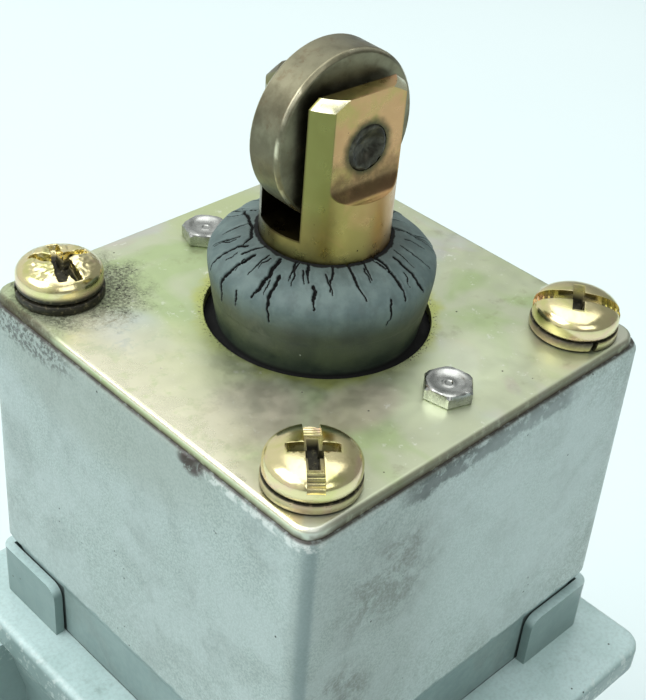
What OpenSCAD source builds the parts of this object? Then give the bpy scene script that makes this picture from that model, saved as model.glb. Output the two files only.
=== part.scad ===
// Heavy-duty limit switch with a sprung, booted roller plunger.
// The origin is the centre of the cable entry's mouth in the base, and +Z runs up the plunger.
// The cover faces -Y and the switch is fixed by its back, which faces +Y.

/* [Body] */
// Height from the base to the top of the flange
body_h = 92; // [90:1:110]
// Width of the enclosure between its side walls
body_w = 56; // [54:1:60]
// Distance from the plunger's axis to the back face
back_y = 32.6; // [31:0.2:36]
// Width over the two fixing lugs
lug_w = 78; // [76:1:90]
// Distance between the fixing holes across the body
fix_x = 68; // [67:0.5:70]
// Distance between the fixing holes up the body
fix_z = 60; // [40:1:62]
// Diameter of the fixing holes
fix_d = 5.5; // [4.5:0.1:6.5]
// Diameter of the cable entry inside its thread
entry_d = 19.06; // [15:0.02:21]

/* [Flange] */
// Width of the flange
flange_w = 61.5; // [58:0.5:66]
// Distance from the plunger's axis to the flange's front edge
flange_front = 34.4; // [32:0.2:36]
// Thickness of the flange
flange_t = 3.8; // [3:0.1:5]

/* [Head] */
// Side of the square head
head_w = 52; // [51:0.1:53]
// Height of the head casting
head_h = 45.1; // [44.8:0.1:50]
// Side of the square plate on the head
plate_w = 50.6; // [50:0.1:51]
// Thickness of the plate
plate_t = 1.2; // [1:0.1:2.5]
// Diameter of the hole in the plate
plate_hole_d = 25.1; // [25:0.1:26]
// Distance between the corner screws
screw_pitch = 40; // [39:0.1:41]
// Distance between the two small hexagon bolts
bolt_pitch = 38.4; // [38:0.1:39]

/* [Roller plunger] */
// Diameter of the plunger
plunger_d = 14; // [13.5:0.1:14.2]
// Width of the slot for the roller
slot_w = 6.2; // [5.8:0.1:6.6]
// Distance between the two flats on the plunger's ears
flats_w = 10.4; // [10:0.1:11.5]
// Height of the ears above the plate
ear_h = 28; // [27:0.1:30]
// Diameter of the roller
roller_d = 18.1; // [16:0.1:18.4]
// Thickness of the roller
roller_t = 4.6; // [4:0.1:5]
// Diameter of the roller's pin
pin_d = 5; // [4:0.1:5]
// Angle by which the ears are turned from the head's sides
ear_turn = -3; // [-10:0.5:10]
// Stroke of the plunger
stroke = 5.5; // [3:0.1:5.5]

/* [Hidden] */
// Clearances: running fits, parts that sit in a seat, and parts that pass each other
run = 0.03;
seat = 0.05;
pass = 0.3;
// Overlap that keeps a cut from ending on a face
eps = 0.5;
// Facets of round shapes
fine = 96;
small = 48;

// Heights of the main faces
flange_under = body_h - flange_t;
head_top = body_h + head_h;
plate_top = head_top + plate_t;

// Enclosure
front_y = -25;
rear_step = 5;
lug_y = 21;
fix_low = 16;
cavity_back = 22;
back_tap_depth = 7;
wall = 4;
floor_t = 10;
roof_z = body_h - 12;
cavity_w = body_w - 2 * wall;
cover_t = 4;
cover_r = 5;
boss_r = 5;
boss_x = cavity_w / 2 - 1.5;
boss_z = [floor_t + 3.5, roof_z - 3.5];
boss_tap_depth = 12;
taper_h = 10;
taper_step = 0.5;
corner_r = 3;
m4_tap_r = 1.65;
m5_tap_r = 2.1;
m5_depth = 10.5;

// Front cover, its gasket and its screws
cover_w = body_w - 1;
cover_h = flange_under - 1.5;
cover_mid = cover_h / 2 + 0.5;
cover_step = [2, 1.2];
cover_gasket_t = 0.9;
cover_face = front_y - 1;
recess = [6, 6, 1.4];
m4_clear_r = 2.25;
m4_head = [3.9, 2.4];
cover_sink = [4.2, 1.6];

// Corner tabs of the flange, which locate the head
tab_half = 26.5;
tab_t = 1.2;
tab_len = 11.5;
tab_h = 7.6;

// Head casting
foot_h = 8;
foot_half = tab_half - tab_t - 0.2;
bore_r = 11;
chamber_r = 12.6;
bush_flange_r = 17;
bush_flange_t = 2.5;
foot_t = 1.8;
bush_top = head_top - foot_t;
bush_bottom = plate_top - 20;
seat_r = 14;
seat_t = 3;
seat_top = body_h + 4.3;
ring_t = 1;
m5_clear_r = 2.75;
m3_tap_r = 1.25;
m3_clear_r = 1.7;
m3_depth = 9;
gasket_hole_r = seat_r + 2.8;
plate_step = [0.4, 0.5];
screw_head = [4.8, 2.9, 1.2];
washer = [2.6, 4.75, 1.2];
washer_cut = 0.6;
hex_head = [2.85, 1.6];
gasket_w = 48.4;
gasket_t = 0.8;

// Plunger and push rod
roller_z = plate_top + 22.2;
roller_shift = 0.2;
ear_bevel = [1.1, 0.95];
runout_r = 1.9;
slot_floor = plate_top + 12.5;
flat_z = plate_top + 18.9;
stop_r = 12;
stop_t = 3;
stop_top = bush_bottom - pass;
key_x = 9.2;
key_r = 1.5;
rod_r = 4;
rod_bottom = roof_z - 2;
rod_up = stop_top + 12;
rod_foot = [1.6, 1.2];
seal_r = 8;
seal_t = 6;
bush_wall = 1.2;
bush_proud = 0.2;
rim_cut = 0.4;
dimple_r = 1.3;
dimple_out = 0.6;
spring_r = 6.7;
spring_wire = 1.6;

// Boot
lip_z = plate_top + 10.3;
lip_t = 1.7;
boot_r = 12.3;
boot_foot_r = 16.5;

// Contact block
block_w = 44;
block_front = -9;
block_z = [28, roof_z - 4];
chamber_w = 22;
chamber_back = 7;
chamber_z = [32, roof_z - 8];
carrier = [10, 7];
carrier_z = [41.5, rod_bottom - pass];
bridge_l = 18;
bridge_w = 4;
bridge_t = 0.8;
button_r = 1.4;
button_h = 0.7;
button_x = 7.4;
nc_bridge_z = 58.2;
no_bridge_z = 43;
nc_window = [52, 7.8];
no_window = [43, 7];
strip_t = 1;
tip_h = 1;
nc_strip_z = nc_bridge_z + bridge_t + button_h + pass + tip_h;
no_strip_z = no_bridge_z - button_h - pass - stroke - tip_h - strip_t;
term_x = 17;
term_half = 4;
term_y = -5;
term_hole_r = 1.75;
clamp = [6.6, 1.2];
block_screw_z = 52;
block_cover_t = 2;
m2_tap_r = 1.05;
cover_screws_xz = [[-9, roof_z - 6], [9, 30]];
earth = [16.5, 22.5];

// ---------- shapes that repeat ----------

// A rectangle with round corners, centred on the origin
module rounded_rect(w, d, r) {
    square([w - 2 * r, d], center = true);
    square([w, d - 2 * r], center = true);
    for (sx = [-1, 1], sy = [-1, 1])
        translate([sx * (w / 2 - r), sy * (d / 2 - r)])
            circle(r = r, $fn = small);
}

// A cylinder of radius r along Z, from height a to height b
module rod(r, a, b, fn = fine) {
    translate([0, 0, a])
        cylinder(r = r, h = b - a, $fn = fn);
}

// A cylinder of radius r along Y at x and z, from y = a to y = b
module rod_y(r, x, z, a, b, fn = small) {
    translate([x, a, z])
        rotate([-90, 0, 0])
            cylinder(r = r, h = b - a, $fn = fn);
}

// A tube along Z, from height a to height b
module tube(outer, inner, a, b) {
    difference() {
        rod(outer, a, b);
        rod(inner, a - eps, b + eps);
    }
}

// A box from one corner to the other
module box(low, high) {
    translate(low)
        cube(high - low);
}

// The children and their mirror image
module both_sides(normal) {
    children();
    mirror(normal)
        children();
}

// The four places of a square pattern
module at_corners(pitch) {
    for (sx = [-1, 1], sy = [-1, 1])
        translate([sx * pitch / 2, sy * pitch / 2, 0])
            children();
}

// A wire coil about Z, with a ring of points at each step of the helix
module coil(r, wire, z0, z1, turns, steps = 20, sides = 8) {
    n = turns * steps;
    rise = z1 - z0 - wire;
    function ring_point(i, j) =
        let (a = 360 * i / steps, b = 360 * j / sides, q = r + wire / 2 * cos(b))
        [q * cos(a), q * sin(a), z0 + wire / 2 + rise * i / n + wire / 2 * sin(b)];
    points = [for (i = [0:n], j = [0:sides - 1]) ring_point(i, j)];
    sides_faces = [for (i = [0:n - 1], j = [0:sides - 1])
        [i * sides + j, i * sides + (j + 1) % sides,
            (i + 1) * sides + (j + 1) % sides, (i + 1) * sides + j]];
    start = [[for (j = [sides - 1:-1:0]) j]];
    end = [[for (j = [0:sides - 1]) n * sides + j]];
    polyhedron(points, concat(sides_faces, start, end), convexity = 6);
}

// A pan head with a cross slot, standing on z = 0
module pan_head(r, h, slot) {
    difference() {
        rotate_extrude($fn = small)
            polygon([[0, 0], [r, 0], [r, h * 0.45], [r * 0.86, h * 0.8], [r * 0.5, h], [0, h]]);
        for (turn = [0, 90])
            rotate(turn)
                translate([0, 0, h])
                    cube([2 * r + eps, slot, h * 0.9], center = true);
    }
}

// A cheese-head screw along Y: its head stands at y = at, out to -Y, and its shank runs into +Y
module screw_y(x, z, at, head_r, head_h, shank_r, length) {
    translate([x, at, z])
        rotate([90, 0, 0]) {
            difference() {
                cylinder(r = head_r, h = head_h, $fn = small);
                translate([0, 0, head_h])
                    cube([2 * head_r + eps, head_r * 0.3, head_h], center = true);
            }
            translate([0, 0, -length])
                cylinder(r = shank_r, h = length, $fn = small);
        }
}

// ---------- body ----------

// Outline of the enclosure seen from the front, widening under the flange
module enclosure_outline() {
    half = body_w / 2;
    wide = flange_w / 2 - taper_step;
    polygon([[-half, 0], [half, 0], [half, flange_under - taper_h], [wide, flange_under],
        [-wide, flange_under], [-half, flange_under - taper_h]]);
}

// One upstand at each corner of the head's foot
module corner_tabs() {
    translate([0, 0, body_h - eps])
        linear_extrude(tab_h + eps)
            difference() {
                rounded_rect(2 * tab_half, 2 * tab_half, 1.5);
                square(2 * (tab_half - tab_t), center = true);
                square([2 * (tab_half - tab_len), 3 * tab_half], center = true);
                square([3 * tab_half, 2 * (tab_half - tab_len)], center = true);
            }
}

module body_solid() {
    translate([0, (back_y - flange_front) / 2, flange_under])
        linear_extrude(flange_t)
            rounded_rect(flange_w, back_y + flange_front, corner_r);
    corner_tabs();
    translate([0, back_y - rear_step, 0])
        rotate([90, 0, 0])
            linear_extrude(back_y - rear_step - front_y)
                enclosure_outline();
    translate([0, back_y, flange_under / 2])
        rotate([90, 0, 0])
            linear_extrude(back_y - lug_y)
                rounded_rect(lug_w, flange_under, corner_r);
}

module body_casting() {
    color("lightsteelblue")
        difference() {
            body_solid();
            difference() {
                box([-cavity_w / 2, front_y - eps, floor_t], [cavity_w / 2, cavity_back, roof_z]);
                for (sx = [-1, 1], z = boss_z)
                    rod_y(boss_r, sx * boss_x, z, front_y - 2 * eps, cavity_back + eps);
            }
            for (sx = [-1, 1], z = boss_z)
                rod_y(m4_tap_r, sx * boss_x, z, front_y - eps, front_y + boss_tap_depth);
            for (sx = [-1, 1], z = [fix_low, fix_low + fix_z])
                rod_y(fix_d / 2, sx * fix_x / 2, z, lug_y - eps, back_y + eps);
            for (sx = [-1, 1])
                rod_y(m4_tap_r, sx * term_x, block_screw_z, cavity_back - eps, cavity_back + back_tap_depth);
            rod_y(m4_tap_r, earth[0], earth[1], cavity_back - eps, cavity_back + back_tap_depth);
            rod(entry_d / 2, -eps, floor_t + eps);
            rod(rod_r + 1, roof_z - eps, body_h + eps);
            rod(seal_r, body_h - seal_t, body_h + eps);
            at_corners(screw_pitch)
                rod(m5_tap_r, body_h - m5_depth, body_h + eps, small);
        }
}

// ---------- front cover ----------

// Outline of the cover, shrunk by a margin
module cover_outline(margin) {
    translate([0, cover_mid])
        rounded_rect(cover_w - 2 * margin, cover_h - 2 * margin, cover_r);
}

module cover_gasket() {
    back = front_y - seat;
    color("dimgray")
        difference() {
            translate([0, back, 0])
                rotate([90, 0, 0])
                    linear_extrude(cover_gasket_t)
                        cover_outline(0.6);
            difference() {
                box([-cavity_w / 2, back - 2, floor_t], [cavity_w / 2, back + eps, roof_z]);
                for (sx = [-1, 1], z = boss_z)
                    rod_y(boss_r, sx * boss_x, z, back - 3, back + 2);
            }
            for (sx = [-1, 1], z = boss_z)
                rod_y(m4_clear_r, sx * boss_x, z, back - 2, back + eps);
        }
}

module front_cover() {
    outer = cover_face - cover_t;
    color("lightsteelblue")
        difference() {
            union() {
                translate([0, cover_face, 0])
                    rotate([90, 0, 0])
                        linear_extrude(cover_t - cover_step[1])
                            cover_outline(0);
                translate([0, cover_face - eps, 0])
                    rotate([90, 0, 0])
                        linear_extrude(cover_t - eps)
                            cover_outline(cover_step[0]);
            }
            translate([0, cover_face + eps, 0])
                rotate([90, 0, 0])
                    linear_extrude(recess[2] + eps)
                        translate([0, cover_mid])
                            rounded_rect(cavity_w - 2 * recess[0], roof_z - floor_t - recess[1], corner_r);
            for (sx = [-1, 1], z = boss_z) {
                rod_y(m4_clear_r, sx * boss_x, z, outer - eps, cover_face + eps);
                rod_y(cover_sink[0], sx * boss_x, z, outer - eps, outer + cover_sink[1]);
            }
        }
}

module cover_screws() {
    color("gainsboro")
        for (sx = [-1, 1], z = boss_z)
            screw_y(sx * boss_x, z, cover_face - cover_t + cover_sink[1], m4_head[0], m4_head[1],
                m4_tap_r - seat, boss_tap_depth + 1);
}

// ---------- head ----------

module head_gasket() {
    color("dimgray")
        translate([0, 0, body_h + seat])
            linear_extrude(gasket_t - 2 * seat)
                difference() {
                    rounded_rect(gasket_w - 0.4, gasket_w - 0.4, 3);
                    circle(r = gasket_hole_r + 0.2, $fn = fine);
                    for (sx = [-1, 1], sy = [-1, 1])
                        translate([sx * screw_pitch / 2, sy * screw_pitch / 2])
                            circle(r = m5_clear_r, $fn = small);
                }
}

module head_casting() {
    color("lightsteelblue")
        difference() {
            union() {
                translate([0, 0, body_h + foot_h])
                    linear_extrude(head_h - foot_h)
                        rounded_rect(head_w, head_w, 2);
                translate([0, 0, body_h])
                    linear_extrude(foot_h + eps)
                        rounded_rect(2 * foot_half, 2 * foot_half, 2);
            }
            rod(bore_r + seat, bush_bottom - eps, head_top + eps);
            rod(bush_flange_r + seat, bush_top - bush_flange_t, head_top + eps);
            rod(chamber_r, seat_top, bush_bottom);
            rod(seat_r + seat, body_h - eps, seat_top);
            rod(seat_r + 1, body_h + pass, body_h + pass + ring_t);
            translate([0, 0, body_h - eps])
                linear_extrude(gasket_t + eps)
                    difference() {
                        rounded_rect(gasket_w, gasket_w, 3);
                        circle(r = gasket_hole_r, $fn = fine);
                    }
            at_corners(screw_pitch)
                rod(m5_clear_r, body_h - eps, head_top + eps, small);
            for (sy = [-1, 1])
                translate([0, sy * bolt_pitch / 2, 0])
                    rod(m3_tap_r, head_top - m3_depth, head_top + eps, small);
        }
}

module head_plate() {
    color("darkkhaki")
        translate([0, 0, head_top])
            difference() {
                union() {
                    linear_extrude(plate_t - plate_step[1])
                        rounded_rect(plate_w, plate_w, 2.5);
                    linear_extrude(plate_t)
                        rounded_rect(plate_w - 2 * plate_step[0], plate_w - 2 * plate_step[0], 2);
                }
                rod(plate_hole_d / 2, -eps, plate_t + eps);
                at_corners(screw_pitch)
                    rod(m5_clear_r, -eps, plate_t + eps, small);
                for (sy = [-1, 1])
                    translate([0, sy * bolt_pitch / 2, 0])
                        rod(m3_clear_r, -eps, plate_t + eps, small);
            }
}

module head_screws() {
    color("goldenrod")
        at_corners(screw_pitch) {
            translate([0, 0, plate_top + washer[2]])
                pan_head(screw_head[0], screw_head[1], screw_head[2]);
            rod(2.4, body_h, plate_top + washer[2] + eps, small);
            rod(m5_tap_r - seat, body_h - m5_depth + 1, body_h + eps, small);
        }
}

// Split spring washers, each with its cut and its two ends a little apart
module spring_washers() {
    color("goldenrod")
        at_corners(screw_pitch)
            difference() {
                tube(washer[1], washer[0], plate_top, plate_top + washer[2] - 0.02);
                translate([0, 0, plate_top + washer[2] / 2])
                    rotate([0, 20, -80])
                        translate([2, -washer_cut / 2, -washer[2]])
                            cube([4, washer_cut, 2 * washer[2]]);
            }
}

module plate_bolts() {
    color("silver")
        for (sy = [-1, 1])
            translate([0, sy * bolt_pitch / 2, 0]) {
                rod(hex_head[0], plate_top, plate_top + hex_head[1], 6);
                rod(m3_tap_r - seat, head_top - m3_depth + 1, plate_top + eps, small);
            }
}

module guide_bush() {
    color("peru")
        difference() {
            union() {
                rod(bore_r, bush_bottom, bush_top - eps);
                rod(bush_flange_r, bush_top - bush_flange_t, bush_top);
            }
            rod(plunger_d / 2 + run, bush_bottom - eps, bush_top + eps);
            rotate(ear_turn)
                translate([key_x, 0, 0])
                    rod(key_r + 0.02, bush_bottom - eps, bush_bottom + 8, small);
        }
}

// Dowel in the bush that passes through the plunger's stop and keeps it from turning
module anti_turn_pin() {
    color("gray")
        rotate(ear_turn)
            translate([key_x, 0, 0])
                rod(key_r, stop_top - stop_t - stroke - 1, bush_bottom + 7.8, small);
}

module spring_seat() {
    color("gray")
        difference() {
            rod(seat_r, seat_top - seat_t, seat_top);
            rod(rod_r + 0.06, seat_top - seat_t - eps, seat_top + eps);
        }
}

// Internal retaining ring under the spring seat, with its gap
module seat_ring() {
    color("dimgray")
        difference() {
            tube(seat_r + 0.9, seat_r - 2.2, body_h + pass + 0.02, body_h + pass + ring_t - 0.02);
            box([0, -3, body_h], [seat_r + 2, 3, body_h + 3]);
        }
}

module rod_seal() {
    color("black")
        difference() {
            union() {
                rod(seal_r - seat, body_h - seal_t + seat, body_h - 1.5);
                rod(6.4, body_h - 2, body_h - 0.3);
            }
            rod(rod_r + 0.08, body_h - 7, body_h + eps);
        }
}

// ---------- roller plunger ----------

// The two ears: a round bar with a slot and two milled flats that end in a round run-out
module plunger() {
    r = plunger_d / 2;
    top = plate_top + ear_h;
    color("darkkhaki")
        rotate(ear_turn)
            difference() {
                union() {
                    rod(r, stop_top - eps, top - ear_bevel[1]);
                    translate([0, 0, top - ear_bevel[1] - 0.01])
                        cylinder(r1 = r, r2 = r - ear_bevel[0], h = ear_bevel[1] + 0.01, $fn = fine);
                    rod(stop_r, stop_top - stop_t, stop_top);
                }
                translate([-r - 1, -slot_w / 2, slot_floor])
                    cube([2 * r + 2, slot_w, ear_h]);
                both_sides([0, 1, 0]) {
                    box([-r - 1, flats_w / 2, flat_z], [r + 1, r + 1, top + 1]);
                    rod_x(runout_r, flats_w / 2 + runout_r, flat_z, r + 1);
                }
                rod_y(pin_d / 2, 0, roller_z, -r - 1, r + 1);
                rod(rod_r + run, stop_top - stop_t - eps, rod_up);
                translate([key_x, 0, 0])
                    rod(key_r + 0.05, stop_top - stop_t - eps, stop_top + eps, small);
            }
}

// A cylinder along X that rounds the foot of a flat
module rod_x(r, y, z, half_length) {
    translate([-half_length, y, z])
        rotate([0, 90, 0])
            cylinder(r = r, h = 2 * half_length, $fn = small);
}

// Round rod screwed up into the plunger, with a domed foot
module push_rod() {
    color("silver") {
        rod(rod_r, rod_bottom + rod_foot[1], rod_up - pass);
        translate([0, 0, rod_bottom])
            cylinder(r1 = rod_r - rod_foot[0], r2 = rod_r, h = rod_foot[1] + 0.01, $fn = fine);
    }
}

module roller_pin() {
    color("dimgray")
        rotate(ear_turn)
            difference() {
                rod_y(pin_d / 2 - 0.01, 0, roller_z, -flats_w / 2, flats_w / 2);
                for (sy = [-1, 1])
                    translate([0, sy * (flats_w / 2 + dimple_out), roller_z])
                        sphere(r = dimple_r, $fn = small);
            }
}

module roller() {
    color("darkgray")
        rotate(ear_turn)
            translate([0, roller_shift - roller_t / 2, roller_z])
                rotate([-90, 0, 0])
                    difference() {
                        cylinder(r = roller_d / 2, h = roller_t, $fn = fine);
                        translate([0, 0, -eps])
                            cylinder(r = pin_d / 2 + bush_wall, h = roller_t + 2 * eps, $fn = fine);
                        for (end = [0, 1])
                            translate([0, 0, end * roller_t])
                                mirror([0, 0, end])
                                    rim_bevel();
                    }
}

// Ring that cuts a small bevel round one face of the roller
module rim_bevel() {
    rotate_extrude($fn = fine)
        polygon([[roller_d / 2 - rim_cut, -eps], [roller_d / 2 + eps, -eps],
            [roller_d / 2 + eps, rim_cut + eps], [roller_d / 2 - rim_cut, 0]]);
}

module roller_bush() {
    color("peru")
        rotate(ear_turn)
            translate([0, roller_shift - roller_t / 2 - bush_proud, roller_z])
                rotate([-90, 0, 0])
                    difference() {
                        cylinder(r = pin_d / 2 + bush_wall - 0.02, h = roller_t + 2 * bush_proud,
                            $fn = fine);
                        translate([0, 0, -eps])
                            cylinder(r = pin_d / 2 + run, h = roller_t + 1, $fn = fine);
                    }
}

module return_spring() {
    color("silver")
        coil(spring_r, spring_wire, seat_top, stop_top - stop_t, 5);
}

// Rubber boot: a hollow shell with a flat foot held under the plate and a lip on the plunger
module boot() {
    r = plunger_d / 2 + seat;
    foot_z = head_top - foot_t + seat;
    // (radius, height over the plate) up the wall and over the shoulder, then back down inside
    outside = [[11.2, 0], [11.7, 2.6], [12.1, 5.2], [boot_r, 6.9],
        [12.1, 7.7], [11.6, 8.3], [10.9, 8.8], [10, 9.2]];
    inside = [[8.6, 8.3], [10.4, 7.7], [11, 6.8], [10.3, 3]];
    color("darkslategray")
        rotate_extrude($fn = fine)
            polygon(concat(
                [[boot_foot_r, foot_z], [boot_foot_r, head_top - seat], [11.3, head_top - seat]],
                [for (p = outside) [p[0], plate_top + p[1]]],
                [[r, lip_z], [r, lip_z - lip_t]],
                [for (p = inside) [p[0], plate_top + p[1]]],
                [[9.6, foot_z]]));
}

// ---------- contact block ----------

// Space for one terminal, open to the front and the side, with the slot for its strip
module terminal_pocket(z) {
    mid = z + strip_t / 2;
    edge = block_w / 2 + eps;
    box([chamber_w / 2 + 2, block_front - eps, mid - term_half - 1],
        [edge, term_y, mid + term_half + 1]);
    box([chamber_w / 2 - eps, term_y - strip_t - 0.1, z - 0.1], [edge - 8, 3.2, z + strip_t + 0.1]);
    rod_y(1.7, term_x, mid, term_y - eps, 4);
}

module block_base() {
    half = block_w / 2;
    color("saddlebrown")
        difference() {
            box([-half, block_front, block_z[0]], [half, cavity_back - seat, block_z[1]]);
            box([-chamber_w / 2, block_front - eps, chamber_z[0]],
                [chamber_w / 2, chamber_back, chamber_z[1]]);
            box([-carrier[0] / 2 - pass, -carrier[1] / 2 - pass, chamber_z[1] - eps],
                [carrier[0] / 2 + pass, carrier[1] / 2 + pass, block_z[1] + eps]);
            rod(3.6, block_z[0] + 1.5, chamber_z[0] + eps, small);
            rod(rod_r + 0.4, chamber_z[1] - eps, block_z[1] + eps, small);
            for (sx = [-1, 1])
                rod_y(boss_r + 0.4, sx * boss_x, boss_z[1], block_front - eps, cavity_back + eps);
            both_sides([1, 0, 0])
                for (z = [nc_strip_z, no_strip_z])
                    terminal_pocket(z);
            for (sx = [-1, 1]) {
                rod_y(2.2, sx * term_x, block_screw_z, block_front - eps, cavity_back + eps);
                rod_y(4, sx * term_x, block_screw_z, block_front - eps, block_front + 4);
            }
            for (xz = cover_screws_xz)
                rod_y(m2_tap_r, xz[0], xz[1], block_front - eps, block_front + 8);
        }
}

module block_cover() {
    color("black")
        difference() {
            box([-chamber_w / 2 - 1.5, block_front - block_cover_t, block_z[0] + pass],
                [chamber_w / 2 + 1.5, block_front - seat, block_z[1] - pass]);
            for (xz = cover_screws_xz)
                rod_y(1.5, xz[0], xz[1], block_front - 3, block_front + eps);
        }
}

module block_cover_screws() {
    color("silver")
        for (xz = cover_screws_xz)
            screw_y(xz[0], xz[1], block_front - block_cover_t, 2.3, 1.6, m2_tap_r - seat, 7);
}

module block_screws() {
    color("silver")
        for (sx = [-1, 1])
            screw_y(sx * term_x, block_screw_z, block_front + 4, 3.6, 2.6,
                m4_tap_r - seat, cavity_back - block_front + 2);
}

// Strip with a terminal plate at the front and a silver-tipped tongue over or under the bridge
module fixed_contact(z, tip_below) {
    mid = z + strip_t / 2;
    in_x = chamber_w / 2;
    difference() {
        union() {
            box([in_x + 2.2, term_y - strip_t, mid - term_half], [block_w / 2 - 0.5, term_y, mid + term_half]);
            box([button_x - 1.6, term_y - strip_t, z], [in_x + 2.4, term_y, z + strip_t]);
            box([button_x - 1.6, term_y - strip_t, z], [in_x + 1, 3, z + strip_t]);
            translate([button_x, 0, tip_below ? z - tip_h : z + strip_t - 0.01])
                cylinder(r = button_r, h = tip_h + 0.01, $fn = small);
        }
        rod_y(term_hole_r, term_x, mid, term_y - 2, term_y + eps);
    }
}

module nc_fixed_contacts() {
    color("gold")
        both_sides([1, 0, 0])
            fixed_contact(nc_strip_z, true);
}

module no_fixed_contacts() {
    color("gold")
        both_sides([1, 0, 0])
            fixed_contact(no_strip_z, false);
}

// The places of the four terminals
module at_terminals() {
    for (sx = [-1, 1], z = [nc_strip_z, no_strip_z])
        translate([sx * term_x, term_y - strip_t, z + strip_t / 2])
            children();
}

module terminal_clamps() {
    color("silver")
        at_terminals()
            difference() {
                translate([-clamp[0] / 2, -clamp[1], -clamp[0] / 2])
                    cube([clamp[0], clamp[1] - seat, clamp[0]]);
                rod_y(1.85, 0, 0, -2, eps);
            }
}

module terminal_screws() {
    color("silver")
        at_terminals()
            screw_y(0, 0, -clamp[1], 3, 2.2, 1.6, 9);
}

// Moving carrier with a window for each bridge
module contact_carrier() {
    color("saddlebrown")
        difference() {
            box([-carrier[0] / 2, -carrier[1] / 2, carrier_z[0]],
                [carrier[0] / 2, carrier[1] / 2, carrier_z[1]]);
            for (w = [nc_window, no_window])
                box([-carrier[0], -bridge_w / 2 - 0.2, w[0]], [carrier[0], bridge_w / 2 + 0.2, w[0] + w[1]]);
        }
}

// Flat bridge with a contact button at each end, above or below it
module bridge(z, buttons_above) {
    box([-bridge_l / 2, -bridge_w / 2, z], [bridge_l / 2, bridge_w / 2, z + bridge_t]);
    for (sx = [-1, 1])
        translate([sx * button_x, 0, buttons_above ? z + bridge_t - 0.01 : z - button_h])
            cylinder(r = button_r, h = button_h + 0.01, $fn = small);
}

module nc_bridge() {
    color("gold")
        bridge(nc_bridge_z, true);
}

module no_bridge() {
    color("gold")
        bridge(no_bridge_z, false);
}

// One spring in each window, pressing its bridge against the window's edge
module contact_springs() {
    color("silver") {
        coil(1.5, 0.4, nc_window[0], nc_bridge_z, 5, 12, 6);
        coil(1.5, 0.4, no_bridge_z + bridge_t, no_window[0] + no_window[1], 5, 12, 6);
    }
}

module carrier_spring() {
    color("silver")
        coil(2.7, 0.6, block_z[0] + 1.5, carrier_z[0], 5, 14, 6);
}

module earth_screw() {
    color("goldenrod")
        screw_y(earth[0], earth[1], cavity_back - 1.4, 3.5, 2.4, m4_tap_r - seat, 7.5);
}

module earth_washer() {
    color("goldenrod")
        difference() {
            rod_y(4.5, earth[0], earth[1], cavity_back - 1.35, cavity_back - seat);
            rod_y(2.1, earth[0], earth[1], cavity_back - 2, cavity_back + eps);
        }
}

body_casting();
cover_gasket();
front_cover();
cover_screws();
head_gasket();
head_casting();
head_plate();
head_screws();
spring_washers();
plate_bolts();
guide_bush();
anti_turn_pin();
spring_seat();
seat_ring();
rod_seal();
plunger();
push_rod();
roller_pin();
return_spring();
boot();
roller();
roller_bush();
block_base();
block_cover();
block_cover_screws();
block_screws();
nc_fixed_contacts();
no_fixed_contacts();
terminal_clamps();
terminal_screws();
contact_carrier();
nc_bridge();
no_bridge();
contact_springs();
carrier_spring();
earth_screw();
earth_washer();
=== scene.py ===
"""Limit switch with a booted roller plunger: its looks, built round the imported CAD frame."""
import math
import random

import bmesh
import bpy
from mathutils import Matrix, Vector, kdtree, noise


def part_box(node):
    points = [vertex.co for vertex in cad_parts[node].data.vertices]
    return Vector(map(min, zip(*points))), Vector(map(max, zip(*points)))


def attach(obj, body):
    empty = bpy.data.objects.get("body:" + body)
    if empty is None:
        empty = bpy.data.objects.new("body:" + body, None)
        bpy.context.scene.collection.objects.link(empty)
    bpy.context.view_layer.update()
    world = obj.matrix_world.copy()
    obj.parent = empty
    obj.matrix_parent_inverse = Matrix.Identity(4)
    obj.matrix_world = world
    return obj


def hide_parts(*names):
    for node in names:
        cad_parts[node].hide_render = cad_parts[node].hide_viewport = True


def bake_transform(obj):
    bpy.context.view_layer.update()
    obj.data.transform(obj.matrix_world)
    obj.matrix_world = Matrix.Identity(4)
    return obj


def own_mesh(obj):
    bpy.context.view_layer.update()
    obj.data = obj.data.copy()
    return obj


# Without a seed, noise_vector follows the clock and the worn screw differs from run to run
noise.seed_set(11)

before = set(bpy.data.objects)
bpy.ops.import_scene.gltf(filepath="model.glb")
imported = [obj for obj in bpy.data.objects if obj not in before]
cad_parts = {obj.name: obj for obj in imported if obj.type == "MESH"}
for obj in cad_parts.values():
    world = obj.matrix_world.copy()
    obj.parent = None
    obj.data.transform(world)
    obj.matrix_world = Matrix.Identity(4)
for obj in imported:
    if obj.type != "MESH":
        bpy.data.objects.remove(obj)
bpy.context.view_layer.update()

# ---------- places and sizes, in millimetres, read from the frame ----------

MM = 0.001


def corners_mm(node):
    low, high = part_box(node)
    return low / MM, high / MM


plate_low, plate_high = corners_mm("head_plate")
PLATE_HALF = plate_high.x
PLATE_TOP = plate_high.z
HEAD_TOP = plate_low.z
head_low, head_high = corners_mm("head_casting")
HEAD_HALF = head_high.x
FLANGE_TOP = head_low.z
screws_high = corners_mm("head_screws")[1]
SCREW_R = 4.8
DOME_FOOT = 1.1
DOME_RISE = 1.85
SCREW_AT = screws_high.x - SCREW_R
WASHER_TOP = PLATE_TOP + 1.2
bolts_high = corners_mm("plate_bolts")[1]
BOLT_R = bolts_high.x
BOLT_AT = bolts_high.y - BOLT_R * math.sin(math.radians(60))
BOLT_TOP = bolts_high.z
boot_high = corners_mm("boot")[1]
roller_low, roller_high = corners_mm("roller")
ROLLER_Z = (roller_low.z + roller_high.z) / 2
ROLLER_R = (roller_high.z - roller_low.z) / 2
EAR_TOP = corners_mm("plunger")[1].z
EAR_TURN = math.radians(-3)
FLAT_Z = PLATE_TOP + 18.9
SLOT_FLOOR = PLATE_TOP + 12.5
LIP_Z = boot_high.z
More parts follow.
